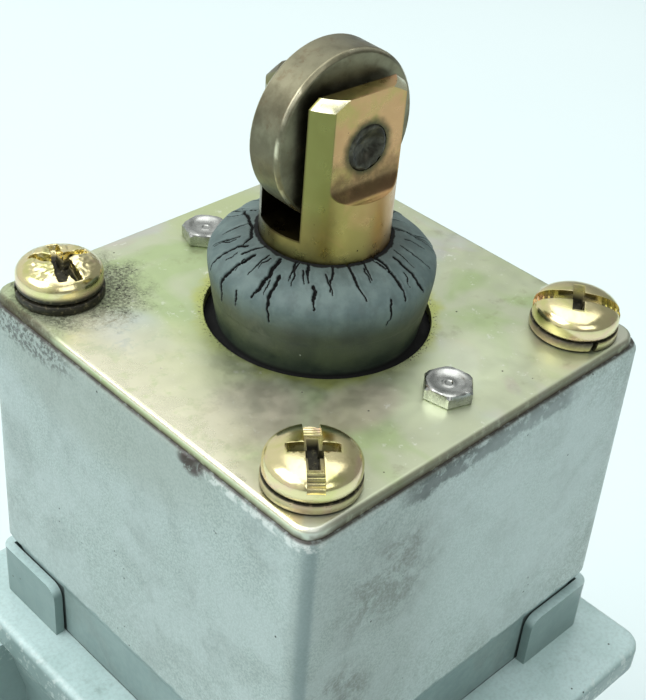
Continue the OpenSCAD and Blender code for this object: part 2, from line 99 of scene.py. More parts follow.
BAND_TOP = FLANGE_TOP + 9.8
TAB_TOP = FLANGE_TOP + 7.6
TAB_END = 15.0
NICK_Y = -9.5
HEAD_BORE_R = 17.1

# ---------- camera, lights, floor ----------

CAMERA_FROM_PLATE = Vector((-88.95, -84.61, 83.48)) * MM
CAMERA_RIGHT = Vector((0.7184, -0.6920, 0.0710))
CAMERA_UP = Vector((0.3666, 0.4634, 0.8067))
CAMERA_BACK = Vector((-0.5912, -0.5535, 0.5866))
CAMERA_LENS = 69.25


def make_camera():
    camera = bpy.data.objects.new("camera", bpy.data.cameras.new("camera"))
    bpy.context.scene.collection.objects.link(camera)
    turn = Matrix((CAMERA_RIGHT, CAMERA_UP, CAMERA_BACK)).transposed().to_4x4()
    place = Matrix.Translation(Vector((0, 0, PLATE_TOP * MM)) + CAMERA_FROM_PLATE)
    camera.matrix_world = place @ turn
    camera.data.lens = CAMERA_LENS
    camera.data.sensor_width = 36
    camera.data.clip_start = 0.01
    bpy.context.scene.camera = camera


def area_light(name, direction, distance, size, power, colour=(1, 1, 1)):
    """A soft panel that faces the head from a direction and a distance."""
    light = bpy.data.lights.new(name, "AREA")
    light.shape = "RECTANGLE"
    light.size, light.size_y = size
    light.energy = power
    light.color = colour
    panel = bpy.data.objects.new(name, light)
    bpy.context.scene.collection.objects.link(panel)
    away = Vector(direction).normalized()
    panel.location = Vector((0, 0, PLATE_TOP * MM)) + away * distance
    panel.rotation_euler = away.to_track_quat("Z", "Y").to_euler()


def make_light():
    """A bright window on the left, a soft ceiling, and a pale room that is dimmer at the front."""
    area_light("window", (-0.57, 0.27, 0.77), 1.2, (0.95, 0.7), 9)
    area_light("ceiling", (0.15, 0.1, 1.0), 1.5, (1.4, 1.4), 10)
    area_light("front_fill", (-0.25, -0.85, 0.75), 1.6, (1.0, 0.8), 5)
    world = bpy.data.worlds.new("room")
    bpy.context.scene.world = world
    world.use_nodes = True
    tree = world.node_tree
    background = tree.nodes["Background"]
    where = tree.nodes.new("ShaderNodeTexCoord")
    towards = tree.nodes.new("ShaderNodeVectorMath")
    towards.operation = "DOT_PRODUCT"
    towards.inputs[1].default_value = (-0.50, 0.75, 0.45)
    ramp = tree.nodes.new("ShaderNodeValToRGB")
    ramp.color_ramp.elements[0].position = 0.0
    ramp.color_ramp.elements[0].color = (0.36, 0.38, 0.37, 1)
    ramp.color_ramp.elements[1].position = 0.45
    ramp.color_ramp.elements[1].color = (0.97, 1.0, 0.99, 1)
    tree.links.new(where.outputs["Generated"], towards.inputs[0])
    tree.links.new(towards.outputs["Value"], ramp.inputs[0])
    tree.links.new(ramp.outputs[0], background.inputs["Color"])
    background.inputs["Strength"].default_value = 0.82
    bpy.context.scene.view_settings.view_transform = "Standard"


# ---------- materials ----------

def srgb(red, green, blue):
    """A colour given in 0..255 display values, as the shader's linear values."""
    def linear(value):
        value /= 255
        return value / 12.92 if value <= 0.04045 else ((value + 0.055) / 1.055) ** 2.4
    return (linear(red), linear(green), linear(blue), 1.0)


class Look:
    """One node material, built a step at a time round a Principled shader."""

    def __init__(self, name, metallic=0.0, roughness=0.5, **sockets):
        self.material = bpy.data.materials.new(name)
        self.material.use_nodes = True
        self.tree = self.material.node_tree
        self.tree.nodes.clear()
        output = self.node("ShaderNodeOutputMaterial")
        self.shader = self.node("ShaderNodeBsdfPrincipled")
        self.link(self.shader.outputs[0], output.inputs["Surface"])
        self.shader.inputs["Metallic"].default_value = metallic
        self.shader.inputs["Roughness"].default_value = roughness
        for socket, value in sockets.items():
            self.shader.inputs[socket.replace("_", " ")].default_value = value
        self.place = self.node("ShaderNodeTexCoord").outputs["Object"]
        in_mm = self.node("ShaderNodeVectorMath")
        in_mm.operation = "SCALE"
        in_mm.inputs["Scale"].default_value = 1 / MM
        self.link(self.place, in_mm.inputs[0])
        self.in_mm = in_mm.outputs[0]
        self.x, self.y, self.z = self.split(self.in_mm)

    def node(self, kind):
        return self.tree.nodes.new(kind)

    def link(self, source, socket):
        self.tree.links.new(source, socket)

    def split(self, vector):
        n = self.node("ShaderNodeSeparateXYZ")
        self.link(vector, n.inputs[0])
        return n.outputs

    def feed(self, socket, value):
        """A number, a colour or another node's output goes into the socket."""
        if isinstance(value, bpy.types.NodeSocket):
            self.link(value, socket)
        else:
            socket.default_value = value

    def calc(self, operation, a, b=0.0, c=0.0):
        n = self.node("ShaderNodeMath")
        n.operation = operation
        for socket, value in zip(n.inputs, (a, b, c)):
            self.feed(socket, value)
        return n.outputs[0]

    def span(self, value, low, high, to_low=0.0, to_high=1.0):
        """The value's way from low to high, smoothed and held at its ends."""
        n = self.node("ShaderNodeMapRange")
        n.interpolation_type = "SMOOTHSTEP"
        for socket, part in zip(n.inputs, (value, low, high, to_low, to_high)):
            self.feed(socket, part)
        return n.outputs[0]

    def add(self, value, extra, scale):
        return self.calc("MULTIPLY_ADD", extra, scale, value)

    def inverse(self, value):
        return self.calc("SUBTRACT", 1.0, value)

    def times(self, *factors):
        result = factors[0]
        for factor in factors[1:]:
            result = self.calc("MULTIPLY", result, factor)
        return result

    def most(self, *values):
        result = values[0]
        for value in values[1:]:
            result = self.calc("MAXIMUM", result, value)
        return result

    def stretched(self, scale):
        n = self.node("ShaderNodeMapping")
        self.link(self.place, n.inputs["Vector"])
        n.inputs["Scale"].default_value = scale
        return n.outputs[0]

    def patch(self, centre, size):
        """1 at the centre and 0 on the ellipsoid of that size, both in millimetres."""
        total = 0.0
        for axis, middle, half in zip((self.x, self.y, self.z), centre, size):
            along = self.times(self.calc("SUBTRACT", axis, middle), 1 / half)
            total = self.calc("MULTIPLY_ADD", along, along, total)
        return self.span(total, 1.0, 0.2)

    def upright(self):
        """The height of the surface's normal: 1 where it faces up, 0 where it stands upright."""
        return self.split(self.node("ShaderNodeNewGeometry").outputs["Normal"])[2]

    def noise(self, size, detail=4.0, rough=0.55, bend=0.0, place=None):
        """Noise with features of about that many millimetres."""
        n = self.node("ShaderNodeTexNoise")
        self.link(place or self.place, n.inputs["Vector"])
        n.inputs["Scale"].default_value = 1 / (size * MM)
        n.inputs["Detail"].default_value = detail
        n.inputs["Roughness"].default_value = rough
        n.inputs["Distortion"].default_value = bend
        return n.outputs["Fac"]

    def clouds(self, low, high, *noise, to=(0, 1), **more):
        """Noise of the given kind, 0 below low and 1 above high."""
        return self.span(self.noise(*noise, **more), low, high, *to)

    def ragged(self, value, amount, *noise):
        """The value, moved about by noise of up to that amount."""
        return self.add(value, self.noise(*noise), amount)

    def pits(self, spacing, size, where):
        """Small round spots, where the mask lets them. Their size is a share of their spacing."""
        n = self.node("ShaderNodeTexVoronoi")
        self.link(self.place, n.inputs["Vector"])
        n.inputs["Scale"].default_value = 1 / (spacing * MM)
        return self.times(self.span(n.outputs["Distance"], size, size * 0.6), where)

    def mix(self, share, a, b):
        n = self.node("ShaderNodeMix")
        n.data_type = "RGBA"
        self.feed(n.inputs[0], share)
        self.feed(n.inputs[6], a)
        self.feed(n.inputs[7], b)
        return n.outputs[2]

    def coat(self, share, red, green, blue, strength=1):
        """Lays that share of a colour over what is there."""
        share = share if strength == 1 else self.times(share, strength)
        self.colour = self.mix(share, self.colour, srgb(red, green, blue))

    def ramp(self, value, *stops):
        n = self.node("ShaderNodeValToRGB")
        elements = n.color_ramp.elements
        while len(elements) < len(stops):
            elements.new(0.5)
        for element, (position, colour) in zip(elements, stops):
            element.position = position
            element.color = colour
        self.feed(n.inputs[0], value)
        return n.outputs[0]

    def attribute(self, name):
        n = self.node("ShaderNodeAttribute")
        n.attribute_name = name
        return n.outputs["Fac"]

    def length(self, a, b):
        return self.calc("SQRT", self.calc("MULTIPLY_ADD", a, a, self.times(b, b)))

    def radius_from(self, x, y):
        """Distance from an upright axis at x and y, in millimetres."""
        return self.length(self.calc("SUBTRACT", self.x, x), self.calc("SUBTRACT", self.y, y))

    def grain(self, *layers):
        """Bump from layers of (height, depth in millimetres), one on top of the other."""
        normal = None
        for height, depth in layers:
            n = self.node("ShaderNodeBump")
            n.inputs["Strength"].default_value = 1.0
            n.inputs["Distance"].default_value = depth * MM
            self.link(height, n.inputs["Height"])
            if normal:
                self.link(normal, n.inputs["Normal"])
            normal = n.outputs[0]
        self.link(normal, self.shader.inputs["Normal"])

    def finish(self, roughness, metallic=None):
        self.feed(self.shader.inputs["Base Color"], self.colour)
        self.feed(self.shader.inputs["Roughness"], roughness)
        if metallic is not None:
            self.feed(self.shader.inputs["Metallic"], metallic)
        return self.material


def body_paint():
    """Grey-green stove enamel of the enclosure, painted lighter on its upper faces and darker on its upright ones
    as painted light, with a few pits.
    """
    look = Look("casting_paint", roughness=0.38, Specular_IOR_Level=0.5, Coat_Weight=0.2, Coat_Roughness=0.2)
    # Painted light: upright faces take the darker colour, faces turned up the lighter one
    side = look.mix(look.clouds(0.35, 0.65, 14, 3), srgb(112, 134, 131), srgb(121, 143, 140))
    top = look.mix(look.clouds(0.35, 0.65, 6, 4), srgb(172, 197, 195), srgb(183, 207, 206))
    look.colour = look.mix(look.span(look.upright(), 0.2, 0.9), side, top)
    look.coat(look.clouds(0.40, 0.66, 0.5, 3, 0.6, to=(0, 0.16)), 110, 128, 124)
    worn_rim = look.span(look.attribute("wear"), 0.3, 0.8)
    look.coat(look.times(worn_rim, look.clouds(0.52, 0.62, 1.3, 5, 0.7, to=(0, 0.4))), 206, 216, 212)
    grime = look.times(look.clouds(0.58, 0.72, 5, 6, 0.66), look.clouds(0.4, 0.6, 0.6, 3, to=(0.1, 0.4)))
    look.coat(grime, 98, 112, 106)
    holes = look.pits(2.2, 0.075, look.clouds(0.50, 0.56, 4, 2))
    look.coat(holes, 44, 52, 50)
    look.grain((look.noise(1.8, 3, 0.5), 0.045), (look.noise(0.35, 2), 0.01), (look.inverse(holes), 0.04))
    return look.finish(look.clouds(0.3, 0.7, 3, 4, to=(0.32, 0.46)))


def head_paint():
    """The head's enamel: rough and chalky on its faces, clean in the undercut band."""
    look = Look("head_paint", roughness=0.42, Specular_IOR_Level=0.5, Coat_Weight=0.12, Coat_Roughness=0.3)
    x, y, z = look.x, look.y, look.z
    on_front = look.span(y, -0.9 * HEAD_HALF, -HEAD_HALF)
    clean = look.mix(look.clouds(0.35, 0.65, 12, 3), srgb(116, 138, 136), srgb(126, 148, 145))
    chalk = look.mix(look.clouds(0.38, 0.62, 0.26, 3, 0.75), srgb(142, 158, 152), srgb(176, 192, 187))
    chalk = look.mix(look.clouds(0.40, 0.62, 9, 4, 0.6, 0.4, to=(0, 0.45)), chalk, srgb(176, 190, 188))
    chalk = look.mix(look.clouds(0.54, 0.70, 2.2, 6, 0.7, 1.5, to=(0, 0.4)), chalk, srgb(132, 148, 142))
    # The chalky film ends in a ragged line over the band
    chalky = look.span(look.ragged(z, 2.2, 2.0, 5, 0.65), BAND_TOP + 1.15, BAND_TOP + 1.75)
    look.colour = look.mix(chalky, clean, chalk)
    # Brown-grey grime on the front, in patches towards the corner with the left side
    speckle = look.clouds(0.36, 0.62, 0.4, 4, 0.7, to=(0.45, 1))
    patches = look.most(look.patch((-13, -26, PLATE_TOP - 13), (9, 3, 8)),
        look.patch((-20, -26, PLATE_TOP - 28), (6.5, 3, 9)))
    look.coat(look.times(patches, look.clouds(0.40, 0.58, 4, 7, 0.72, 0.3), speckle), 90, 96, 86, 0.9)
    # Painted shading: the front darkens softly and widely towards its left corner
    look.coat(look.patch((-18, -26, PLATE_TOP - 18), (17, 3, 26)), 116, 126, 118, 0.35)
    # A thin, uneven film everywhere, and more along the top of the left side; the whole left side is also painted
    # darker as painted shade
    look.coat(look.times(look.clouds(0.48, 0.66, 8.5, 6, 0.66, 0.3, to=(0, 0.45)), speckle), 108, 118, 110)
    # Painted shade: the whole left side a little darker
    look.coat(look.span(x, -0.9 * HEAD_HALF, -HEAD_HALF, 0, 0.28), 124, 142, 140)
    look.coat(look.patch((-26, 6, HEAD_TOP - 1), (3, 26, 11)), 122, 132, 116, 0.4)
    # A rubbed dark strip under the middle of the front's top edge
    drop = look.ragged(z, 3.6, 2.2, 6, 0.75)
    strip = look.times(look.span(drop, HEAD_TOP - 1.0, HEAD_TOP - 0.2),
        look.span(drop, HEAD_TOP + 2.0, HEAD_TOP + 1.4), look.span(x, -15, -10), look.span(x, 16, 11), on_front,
        look.clouds(0.32, 0.5, 1.1, 4, 0.6, to=(0.35, 1)))
    look.coat(strip, 70, 80, 77, 0.9)
    # Scratches along the far end of the left side's top edge, and a dark line at the head's foot
    far_end = look.patch((-26, 19, HEAD_TOP - 1.2), (3, 11, 2.6))
    look.coat(look.times(far_end, look.clouds(0.47, 0.54, 0.6, 5, 0.75)), 62, 68, 62, 0.85)
    look.coat(look.span(look.ragged(z, 0.3, 0.8, 4), FLANGE_TOP + 0.5, FLANGE_TOP + 0.3), 40, 48, 46)
    # Darker where the flange's tabs meet the head, and brown in a nick of the top edge
    inner = look.calc("MINIMUM", look.calc("ABSOLUTE", x), look.calc("ABSOLUTE", y))
    look.coat(look.times(look.span(inner, TAB_END - 0.5, TAB_END - 0.2),
        look.span(z, TAB_TOP + 0.45, TAB_TOP + 0.2)), 44, 52, 50)
    nick = look.patch((-25.9, NICK_Y, HEAD_TOP - 0.5), (2, 2.3, 1.7))
    look.coat(look.times(nick, look.clouds(0.40, 0.5, 0.9, 5, 0.7)), 58, 50, 44)
    # A painted pale sheen lies on the front's middle, and its left corner is rubbed bare of chalk
    look.coat(look.patch((7, -26, PLATE_TOP - 17), (20, 3, 20)), 180, 197, 194, 0.4)
    look.coat(look.times(look.span(x, -25.9, -25.4), look.span(x, -24.1, -24.9), on_front), 100, 120, 120, 0.7)
    # Pale chips along the edge, darker in the seam under the plate and in the nick, black pits
    worn_edge = look.times(look.span(look.attribute("wear"), 0.3, 0.8),
        look.patch((-26, -20, HEAD_TOP), (3, 12, 4)))
    look.coat(look.times(worn_edge, look.clouds(0.45, 0.56, 1.0, 5, 0.7, to=(0, 0.6))), 208, 216, 212)
    look.coat(look.times(look.attribute("seam"), look.clouds(0.30, 0.5, 0.8, 4, 0.6, to=(0.55, 1))), 50, 46, 38)
    holes = look.pits(1.5, 0.10, look.clouds(0.56, 0.64, 6, 3))
    look.coat(holes, 44, 50, 46)
    look.grain((look.noise(2.4, 3, 0.5), 0.06), (look.noise(0.45, 3, 0.6), 0.02), (look.inverse(holes), 0.05))
    return look.finish(look.clouds(0.3, 0.7, 1.2, 4, to=(0.34, 0.52)))


def zinc(name, base, green, rose, roughness, patch=9.0, tarnish=srgb(120, 112, 74)):
    """Yellow chromate on zinc: a metal whose tint drifts between straw, green and rose."""
    look = Look(name, metallic=1.0, roughness=roughness)
    drift = look.noise(patch, 3, 0.5, 0.8)
    tint = look.ramp(drift, (0.34, green), (0.47, base), (0.56, base), (0.68, rose))
    look.colour = look.mix(look.clouds(0.58, 0.72, patch * 0.45, 5, 0.65, to=(0, 0.3)), tint, tarnish)
    return look


def plate_zinc():
    """The plate's plating: pale straw with faint green and rose, tarnished round the hole and a screw."""
    look = zinc("yellow_zinc_plate", srgb(200, 207, 178), srgb(186, 202, 156), srgb(203, 195, 180), 0.44, 11)

    def zone(x, y, half_x, half_y):
        return look.patch((x, y, PLATE_TOP), (half_x, half_y, 3))

    look.coat(look.clouds(0.52, 0.68, 11, 3, 0.5, 0.6, to=(0, 0.5)), 200, 212, 204)
    # Green-yellow halo round the hole, then wide zones of blue and green, a pale painted sheen, and rose
    radius = look.radius_from(0, 0)
    look.coat(look.span(look.ragged(radius, 5, 5, 4), 16.8, 15.0, 0, 0.85), 190, 198, 116)
    look.coat(zone(-19, 9, 5, 6), 186, 196, 208, 0.6)
    look.coat(look.most(zone(-17, 2, 7, 9), zone(5, 22, 10, 5), zone(-23.5, -4, 4.5, 21)), 192, 204, 150, 0.6)
    # Painted sheen: a pale zone in front of the hole
    look.coat(zone(2, -17, 14, 6), 222, 231, 198, 0.6)
    look.coat(look.most(zone(-18, -9, 7, 6), zone(-9, -15, 7, 4)), 204, 188, 176, 0.55)
    # Oily grime round the worn screw, drifting from it over the plate
    field = look.ragged(look.radius_from(-SCREW_AT + 1.5, SCREW_AT - 1.5), 8, 3.0, 5, 0.65)
    oily = look.span(field, 13.5, 9.0, 0, 0.95)
    look.coat(look.times(oily, look.clouds(0.40, 0.56, 0.36, 4, 0.75, to=(0.45, 1))), 100, 104, 84)
    # Black crumbs at two sides of the hole, in the grime and scattered
    sides = look.span(look.calc("ABSOLUTE", look.calc("SUBTRACT", look.x, look.y)), 10, 15)
    crumbs = look.times(look.clouds(0.57, 0.61, 0.28, 3, 0.6), look.span(radius, 13.6, 12.7), sides)
    dots = look.times(look.clouds(0.575, 0.60, 0.42, 4, 0.8), look.span(field, 13.5, 9))
    black = look.most(crumbs, dots, look.pits(3.0, 0.05, look.clouds(0.45, 0.5, 7)))
    look.coat(black, 44, 42, 34)
    look.coat(look.times(look.clouds(0.60, 0.66, 0.9, 5, 0.75), look.clouds(0.48, 0.56, 6)), 238, 240, 232, 0.5)
    # A painted highlight lies along the left edge, and the seam is darker
    painted_edge_highlight = look.times(look.attribute("rim"), look.clouds(0.34, 0.5, 1.6, 5, 0.65, to=(0.5, 1)))
    look.coat(painted_edge_highlight, 246, 242, 214)
    seam = look.times(look.attribute("seam"), look.clouds(0.30, 0.5, 1.2, 4, 0.65, to=(0.7, 1)))
    look.coat(seam, 60, 48, 28)
    dull = look.most(black, seam, look.times(oily, 0.6))
    rough = look.add(look.clouds(0.3, 0.7, 2.2, 5, 0.6, to=(0.40, 0.50)), dull, 0.3)
    look.grain((look.noise(4, 3), 0.02), (look.noise(0.4, 3, 0.6), 0.006), (look.inverse(black), 0.02))
    return look.finish(look.add(rough, painted_edge_highlight, -0.2), look.add(1.0, dull, -0.8))


def screw_zinc():
    """Bright plating of the screws and washers, near black in the recesses and low on the flanks: painted shade in
    the recesses, grime and painted shade on the flanks.
    """
    look = zinc("yellow_zinc_screws", srgb(228, 216, 166), srgb(214, 212, 142), srgb(230, 200, 172), 0.16, 5,
        srgb(160, 140, 80))
    # Painted shade in the recesses and low on the flanks, with grime, laid on as near black
    dirt_and_shade = look.times(look.span(look.attribute("dirt_and_shade"), 0.1, 0.9),
        look.clouds(0.3, 0.5, 0.5, 4, 0.65, to=(0.85, 1)))
    look.coat(dirt_and_shade, 36, 35, 24)
    look.grain((look.noise(1.6, 3), 0.014), (look.noise(0.3, 3), 0.004))
    rough = look.add(look.clouds(0.3, 0.7, 1.2, 4, to=(0.14, 0.26)), dirt_and_shade, 0.3)
    return look.finish(rough, look.add(1.0, dirt_and_shade, -0.7))


def bar_zinc():
    """The plunger's plating: olive-gold on the round, rose on the near flat, painted shade in the slot, a painted
    highlight on the near ear's chamfers.
    """
    look = zinc("yellow_zinc_bar", srgb(160, 146, 88), srgb(143, 142, 78), srgb(186, 148, 104), 0.28, 7,
        srgb(112, 100, 62))
    turned = look.node("ShaderNodeVectorRotate")
    turned.rotation_type = "Z_AXIS"
    look.link(look.in_mm, turned.inputs["Vector"])
    turned.inputs["Angle"].default_value = -EAR_TURN
    x, y, z = look.split(turned.outputs[0])
    outward = look.calc("ABSOLUTE", y)
    near_ear = look.span(y, 0, -1)
    # The round of the bar: darker across its left and pink at its right edge, as the camera sees it; the far ear
    # is grey
    right = look.add(look.ragged(look.times(x, 0.69), 2.5, 3.5, 4), y, -0.72)
    look.coat(look.span(right, 4.2, 0.5, 0, 0.75), 104, 98, 60)
    look.coat(look.span(right, 5.0, 7.5, 0, 0.6), 200, 152, 112)
    look.coat(look.span(y, 2, 3, 0, 0.8), 108, 104, 82)
    # Olive strips on the ears' round backs
    backs = look.times(look.span(x, -4.4, -4.8), look.span(z, SLOT_FLOOR + 1, SLOT_FLOOR + 5))
    look.coat(backs, 126, 128, 74, 0.8)
    # Rose on the near flat, darker and browner down towards its foot, and oily round the pin
    on_flat = look.times(look.span(outward, 4.9, 5.1), look.span(look.radius_from(0, 0), 6.95, 6.85),
        look.span(z, FLAT_Z - 1.8, FLAT_Z - 1.6), near_ear)
    rose = look.mix(look.clouds(0.4, 0.62, 3.5, 3), srgb(200, 160, 116), srgb(184, 166, 104))
    low = look.span(look.ragged(z, 8, 2.0, 6, 0.7), ROLLER_Z + 4.4, FLAT_Z + 2.6)
    look.colour = look.mix(look.times(on_flat, 0.9), look.colour, look.mix(low, rose, srgb(112, 90, 66)))
    from_pin = look.length(x, look.calc("SUBTRACT", z, ROLLER_Z))
    look.coat(look.times(look.span(look.ragged(from_pin, 1.0, 1.3, 3), 4.1, 2.9), on_flat), 76, 74, 52)
    look.coat(look.pits(2.4, 0.05, look.clouds(0.50, 0.54, 4)), 60, 50, 36)
    # Painted shade inside the slot between the ears
    inside = look.times(look.span(outward, 3.3, 3.05), look.span(z, SLOT_FLOOR - 0.3, SLOT_FLOOR - 0.1))
    look.coat(inside, 62, 52, 32, 0.8)
    # A painted highlight, near white, on the chamfers at the near ear's tip
    sloping = look.span(look.calc("ABSOLUTE", look.calc("SUBTRACT", look.upright(), 0.72)), 0.26, 0.2)
    painted_chamfer_highlight = look.times(sloping, look.span(z, EAR_TOP - 1.5, EAR_TOP - 1.2), look.span(outward, 3.2, 3.4),
        near_ear)
    look.coat(painted_chamfer_highlight, 240, 236, 196)
    look.grain((look.noise(1.2, 4, place=look.stretched((1, 1, 0.06))), 0.01), (look.noise(0.3, 3), 0.005))
    return look.finish(look.add(look.clouds(0.3, 0.7, 1.5, 4, to=(0.26, 0.38)), painted_chamfer_highlight, -0.12))


def boot_rubber():
    """Perished black rubber: a blue-grey bloom on the shoulder, bare and dark below, black in its cracks. Painted
    light is laid on too: a lighter shoulder facing up, a darker upright wall, and painted shade on the foot under
    the plate.
    """
    look = Look("boot_rubber", roughness=0.6, Specular_IOR_Level=0.35)
    radius = look.radius_from(0, 0)
    mottled = look.mix(look.clouds(0.35, 0.65, 3.2, 5, 0.6), srgb(80, 97, 96), srgb(98, 115, 112))
    streaks = look.clouds(0.5, 0.66, 1.1, 4, 0.6, place=look.stretched((1, 1, 0.25)), to=(0, 0.4))
    mottled = look.mix(streaks, mottled, srgb(76, 88, 86))
    # The top darkens towards the lip, leaving a painted highlight band on the shoulder
    near_lip = look.span(look.ragged(radius, 3, 1.6, 4), 11.6, 8.8, 0, 0.55)
    mottled = look.mix(near_lip, mottled, srgb(66, 76, 72))
    bare = look.mix(look.clouds(0.4, 0.65, 4, 4), srgb(46, 56, 48), srgb(62, 72, 58))
    # Painted light with the bloom: the shoulder, facing up, lighter, and the upright wall below bare and darker
    bloom_and_painted_light = look.span(look.ragged(look.z, 1.6, 4, 4), PLATE_TOP + 4.9, PLATE_TOP + 7.8)
    look.colour = look.mix(bloom_and_painted_light, bare, mottled)
    # Black where the lip grips the plunger and in the cracks, and black painted shade on the foot under the plate
    contact = look.times(look.span(look.ragged(radius, 0.6, 0.9, 4), 7.85, 7.7),
        look.span(look.z, LIP_Z - 2, LIP_Z - 1.6))
    foot = look.span(look.z, PLATE_TOP - 0.1, PLATE_TOP - 0.7)
    black = look.most(look.span(look.attribute("crack"), 0.08, 0.5), contact, foot)
    look.coat(black, 10, 12, 11)
    look.coat(look.pits(2.8, 0.05, look.clouds(0.52, 0.56, 3)), 140, 148, 142)
    look.grain((look.noise(0.9, 4, 0.6), 0.03), (look.noise(0.25, 3), 0.012))
    rough = look.add(look.clouds(0.3, 0.7, 2, 4, to=(0.40, 0.55)), bloom_and_painted_light, 0.1)
    return look.finish(look.add(rough, black, 0.35))


def dull_roller():
    """Turned steel gone dull: grey-brown patches and a bright worn rim, which is also a painted highlight."""
    look = Look("roller_steel", metallic=1.0, roughness=0.45)
    look.colour = look.mix(look.clouds(0.38, 0.62, 4.5, 5, 0.6), srgb(136, 133, 110), srgb(108, 104, 84))
    look.coat(look.clouds(0.56, 0.68, 2.0, 5, 0.7, to=(0, 0.45)), 112, 96, 74)
    # The worn rim is painted near white: wear, and a painted highlight along its edge
    wear = look.attribute("wear")
    look.coat(wear, 232, 226, 196)
    look.grain((look.noise(1.5, 4), 0.012), (look.noise(0.3, 3), 0.006))
    return look.finish(look.add(look.clouds(0.3, 0.7, 1.6, 4, to=(0.34, 0.48)), wear, -0.2))


def plain_metal(name, first, second, roughness, patch=3.0, grain=0.006):
    look = Look(name, metallic=1.0, roughness=roughness)
    look.colour = look.mix(look.clouds(0.35, 0.65, patch, 5, 0.6), srgb(*first), srgb(*second))
    half_as_bright = tuple(0.5 * c for c in srgb(*first)[:3]) + (1.0,)
    spots = look.clouds(0.62, 0.7, patch * 0.3, 5, 0.7, to=(0, 0.4))
    look.colour = look.mix(spots, look.colour, half_as_bright)
    look.grain((look.noise(0.5, 4, 0.6), grain))
    return look.finish(look.clouds(0.3, 0.7, patch * 0.6, 4, to=(roughness * 0.8, roughness * 1.2)))


def plain_moulding(name, first, second, roughness):
    look = Look(name, roughness=roughness)
    look.colour = look.mix(look.clouds(0.35, 0.65, 6, 4, 0.6), srgb(*first), srgb(*second))
    look.grain((look.noise(0.6, 3), 0.012))
    return look.finish(look.clouds(0.3, 0.7, 2, 4, to=(roughness * 0.85, roughness * 1.1)))


# Name, its two greys or browns, and what follows them in plain_metal or plain_moulding
METALS = [("plated_steel", (186, 188, 184), (150, 152, 148), 0.26, 1.6, 0.012),
    ("bronze", (188, 140, 86), (160, 116, 70), 0.35), ("bare_steel", (190, 190, 188), (160, 160, 158), 0.28),
    ("spring_steel", (150, 152, 152), (120, 122, 122), 0.3),
    ("pin_steel", (88, 86, 76), (52, 50, 44), 0.38, 1.8, 0.03),
    ("contact_brass", (214, 184, 110), (190, 158, 90), 0.26)]
MOULDINGS = [("gasket_rubber", (44, 46, 46), (58, 60, 60), 0.7),
    ("brown_moulding", (96, 58, 36), (112, 70, 44), 0.4), ("black_moulding", (30, 30, 30), (42, 42, 42), 0.45)]

looks = {"casting_paint": body_paint(), "head_paint": head_paint(), "yellow_zinc_plate": plate_zinc(),
    "yellow_zinc_bar": bar_zinc(), "yellow_zinc_screws": screw_zinc(), "roller_steel": dull_roller(),
    "boot_rubber": boot_rubber()}
looks.update({metal[0]: plain_metal(*metal) for metal in METALS})
looks.update({moulding[0]: plain_moulding(*moulding) for moulding in MOULDINGS})


def dress_cad_nodes():
    """Each CAD node takes the look of its material slot."""
    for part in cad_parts.values():
        for material_slot in part.material_slots:
            material_slot.material = looks[material_slot.material.name.split(".")[0]]


# ---------- mesh tools: everything is made in millimetres and scaled once ----------

def cad_surface(node):
    """The CAD node's surface in millimetres, with its flat faces whole again."""
    bm = bmesh.new()
    bm.from_mesh(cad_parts[node].data)
    bm.transform(Matrix.Scale(1 / MM, 4))
    bmesh.ops.remove_doubles(bm, verts=bm.verts, dist=0.002)
    bmesh.ops.dissolve_limit(bm, angle_limit=math.radians(0.4), verts=bm.verts, edges=bm.edges)
    return bm


def round_edges(bm, width, segments=2, angle=35, chosen=lambda edge: True, clamp=True):
    """Rounds the edges that turn more than the angle."""
    sharp = [e for e in bm.edges if len(e.link_faces) == 2
        and e.calc_face_angle() > math.radians(angle) and chosen(e)]
    bmesh.ops.bevel(bm, geom=sharp, offset=width, offset_type="OFFSET", segments=segments,
        profile=0.5, affect="EDGES", clamp_overlap=clamp)


def circle(radius, height, sides, centre=(0, 0)):
    """Points round an upright circle; one point for a radius of 0."""
    turns = [2 * math.pi * k / sides for k in range(sides if radius else 1)]
    return [Vector((centre[0] + radius * math.cos(a), centre[1] + radius * math.sin(a), height)) for a in turns]


def vertices(bm, points):
    return [bm.verts.new(point) for point in points]


def lathe(profile, sides):
    """Turns an outline of (radius, height) about Z. A radius of 0 closes it with a point."""
    bm = bmesh.new()
    join_rings(bm, [vertices(bm, circle(radius, height, sides)) for radius, height in profile])
    return bm


def close_ends(bm, rings):
    bm.faces.new(rings[0][::-1])
    bm.faces.new(rings[-1])


def join_rings(bm, rings, closed=False):
    """Faces between each ring of vertices and the next; a ring may be one point."""
    pairs = list(zip(rings, rings[1:] + rings[:1] if closed else rings[1:]))
    for lower, upper in pairs:
        count = max(len(lower), len(upper))
        for k in range(count):
            following = (k + 1) % count
            if len(lower) == 1:
                corners = [lower[0], upper[following], upper[k]]
            elif len(upper) == 1:
                corners = [lower[k], lower[following], upper[0]]
            else:
                corners = [lower[k], lower[following], upper[following], upper[k]]
            bm.faces.new(corners)


